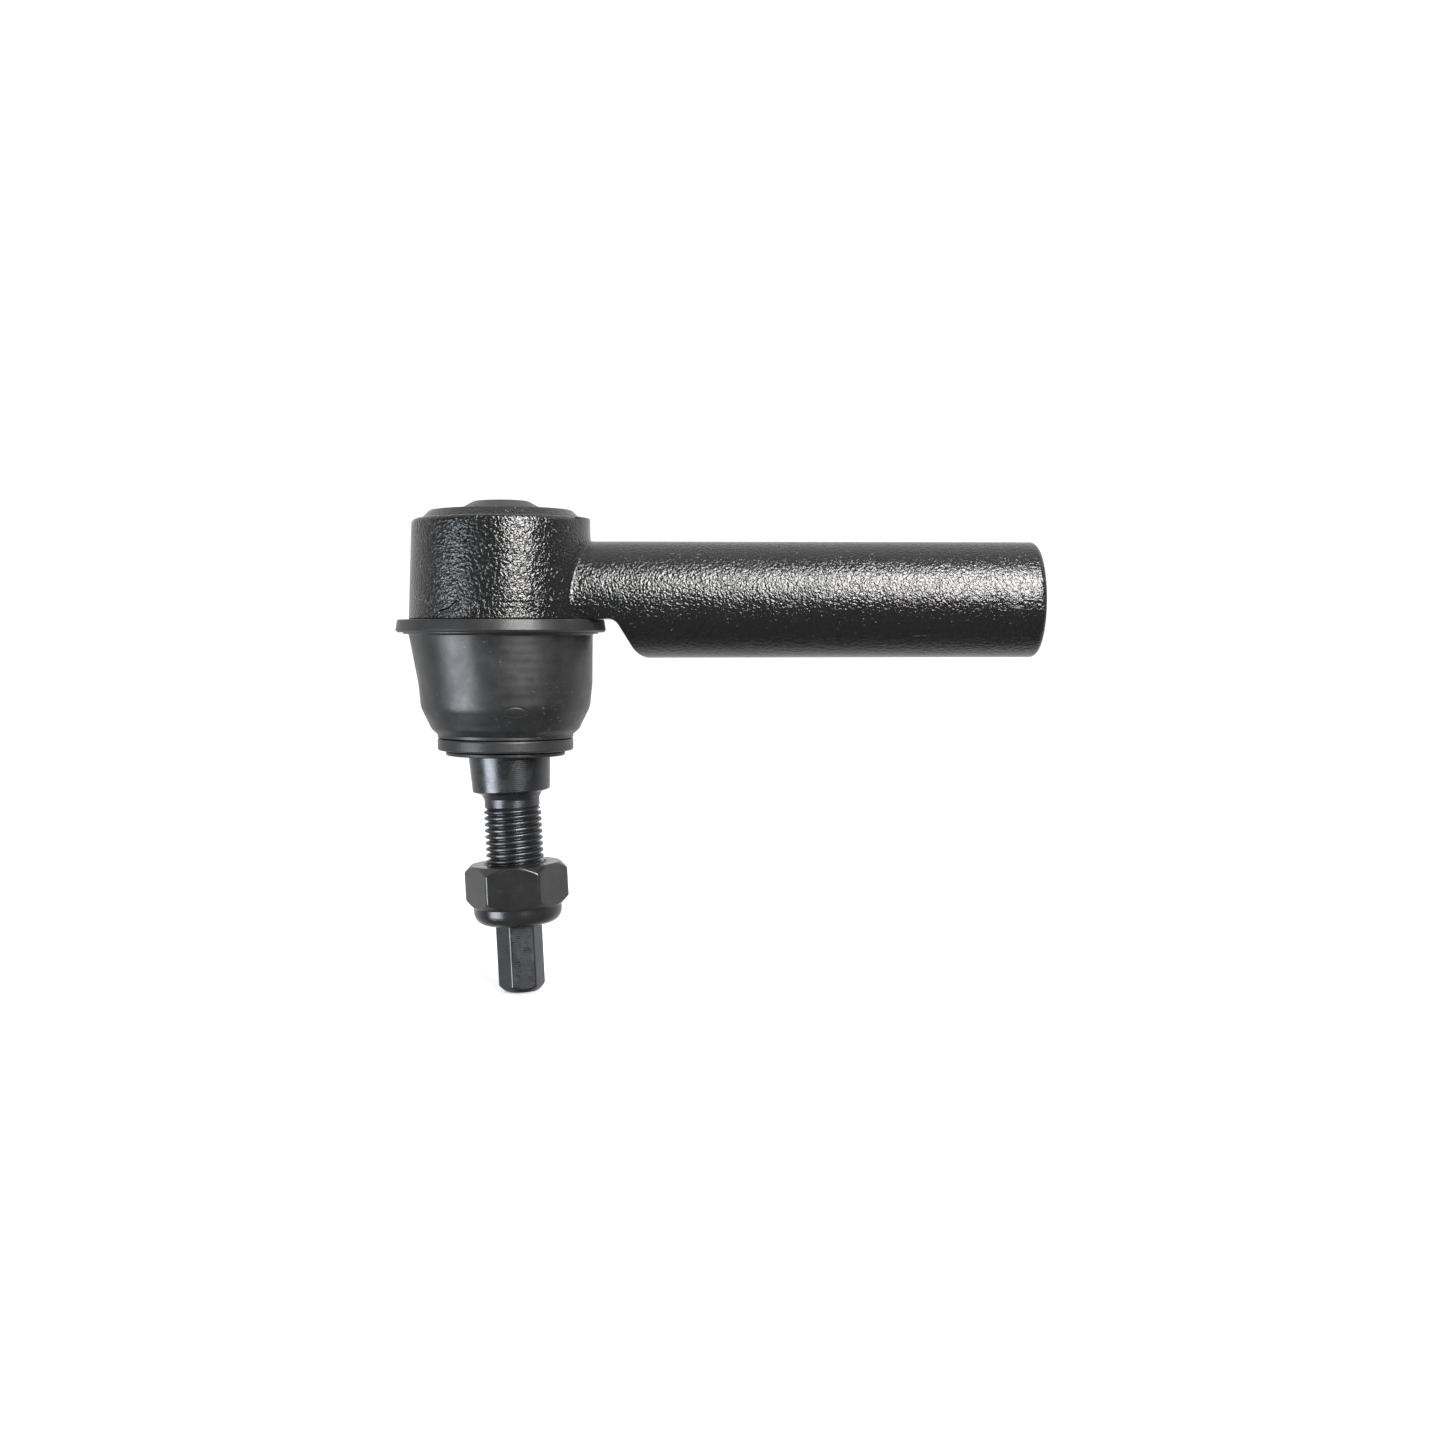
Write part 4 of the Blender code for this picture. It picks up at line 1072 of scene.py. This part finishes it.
class TIEROD_OT_housing(Operator):
    """Builds the forging, with the tie rod's thread"""

    bl_idname = "tierod.housing"
    bl_label = "Housing"

    def execute(self, context):
        look = context.scene.tie_rod.forging
        paint = gloss_paint("housing_gloss_paint", look.paint, look.gloss, look.grain / MM, dent=True)
        dress(make_housing(look), paint, "housing", "housing", "housing")
        bore = oxide_steel("rod_thread_steel", (0.09, 0.088, 0.085), 0.35, 0.0)
        dress(make_rod_thread(), bore, "housing", "housing")
        return {"FINISHED"}


class TIEROD_OT_socket(Operator):
    """Builds the cover plate, and finishes the ball's seats and their spring"""

    bl_idname = "tierod.socket"
    bl_label = "Cover and socket"

    def execute(self, context):
        look = context.scene.tie_rod
        plate = satin_paint("cover_plate_paint", look.boot.ring, 0.3)
        dress(make_cover(look.boot.segments), plate, "housing", "cover_plate", "cover_plate")
        acetal = pale_plastic("ball_seat_acetal", (0.78, 0.77, 0.72))
        spring = brushed_spring("preload_spring_steel")
        hidden = {"upper_ball_seat": acetal, "lower_ball_seat": acetal, "preload_spring": spring}
        for name, material in hidden.items():
            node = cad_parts[name]
            node.data.materials.clear()
            node.data.materials.append(material)
        return {"FINISHED"}


class TIEROD_OT_boot(Operator):
    """Builds the dust boot in two parts, its rings and its seal"""

    bl_idname = "tierod.boot"
    bl_label = "Dust boot"

    def execute(self, context):
        look = context.scene.tie_rod.boot
        ring = satin_paint("boot_ring_paint", look.ring)
        dress(make_top_ring(look.segments), ring, "housing", "boot_upper_ring", "boot_upper_ring")
        foot = satin_paint("foot_ring_paint", look.ring, 0.36)
        dress(make_foot_ring(look.segments), foot, "boot_foot", "boot_lower_ring", "boot_lower_ring")
        lip = boot_rubber("seal_lip_rubber", times(look.rubber, 0.85), 0.42)
        dress(make_seal(look.segments), lip, "boot_foot", "seal_rubber", "stud_seal")
        rubber = boot_rubber("dust_boot_rubber", look.rubber)
        wall, cup = make_boot(look.segments)
        dress(wall, rubber, None, "boot_rubber", "dust_boot")
        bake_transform(wall)
        dress(cup, rubber, None, "boot_rubber", "dust_boot")
        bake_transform(cup)
        return {"FINISHED"}


class TIEROD_OT_stud(Operator):
    """Builds the ball stud with its thread and hexagonal end"""

    bl_idname = "tierod.stud"
    bl_label = "Ball stud"

    def execute(self, context):
        look = context.scene.tie_rod.stud
        steel = oxide_steel("stud_black_oxide", look.oxide, 0.28, 0.006, 0.9, 0.45)
        dress(make_stud(look), steel, "stud", "stud_steel", "ball_stud")
        return {"FINISHED"}


class TIEROD_OT_nut(Operator):
    """Builds the lock nut and its nylon insert"""

    bl_idname = "tierod.nut"
    bl_label = "Lock nut"

    def execute(self, context):
        look = context.scene.tie_rod.stud
        steel = oxide_steel("lock_nut_black", look.nut, 0.2, 0.0025, 0.8, 0.5)
        dress(make_nut(look), steel, "nut", "nut_steel", "lock_nut")
        nylon = pale_plastic("locking_nylon", look.nylon)
        dress(make_insert(96), nylon, "nut_travel", "nylon", "nylon_insert")
        return {"FINISHED"}


class TIEROD_OT_studio(Operator):
    """Makes the floor, the lights and the camera"""

    bl_idname = "tierod.studio"
    bl_label = "Studio"

    def execute(self, context):
        look = context.scene.tie_rod.studio
        make_camera(look.lens)
        make_ground(white_ground("ground_white", look.floor))
        make_sky(look.sky)
        area_light("key_softbox", 24.5, 31.0, 0.9, (0.42, 0.8), look.key, (1.0, 0.99, 0.97))
        area_light("left_window", -58.0, -15.0, 0.9, (0.48, 0.56), look.fill, (0.89, 0.94, 1.0))
        context.scene.view_settings.view_transform = "Standard"
        return {"FINISHED"}


class TIEROD_PT_panel(Panel):
    """Lists the pieces, in the order in which they are built"""

    bl_label = "Tie Rod End"
    bl_idname = "TIEROD_PT_panel"
    bl_space_type = "VIEW_3D"
    bl_region_type = "UI"
    bl_category = "Tie Rod"

    def draw(self, context):
        look = context.scene.tie_rod
        for operator in OPERATORS:
            self.layout.operator(operator.bl_idname)
        for group in (look.forging, look.boot, look.stud, look.studio):
            box = self.layout.box()
            for key in group.__annotations__:
                box.prop(group, key)


OPERATORS = (
    TIEROD_OT_housing, TIEROD_OT_socket, TIEROD_OT_boot, TIEROD_OT_stud, TIEROD_OT_nut, TIEROD_OT_studio,
)
GROUPS = (TIEROD_PG_forging, TIEROD_PG_boot, TIEROD_PG_stud, TIEROD_PG_studio, TIEROD_PG_settings)
CLASSES = (*GROUPS, *OPERATORS, TIEROD_PT_panel)


def register():
    for cls in CLASSES:
        bpy.utils.register_class(cls)
    bpy.types.Scene.tie_rod = PointerProperty(type=TIEROD_PG_settings)


def unregister():
    del bpy.types.Scene.tie_rod
    for cls in reversed(CLASSES):
        bpy.utils.unregister_class(cls)


def main():
    register()
    bpy.ops.tierod.housing()
    bpy.ops.tierod.socket()
    bpy.ops.tierod.boot()
    bpy.ops.tierod.stud()
    bpy.ops.tierod.nut()
    bpy.ops.tierod.studio()


if __name__ == "__main__":
    main()
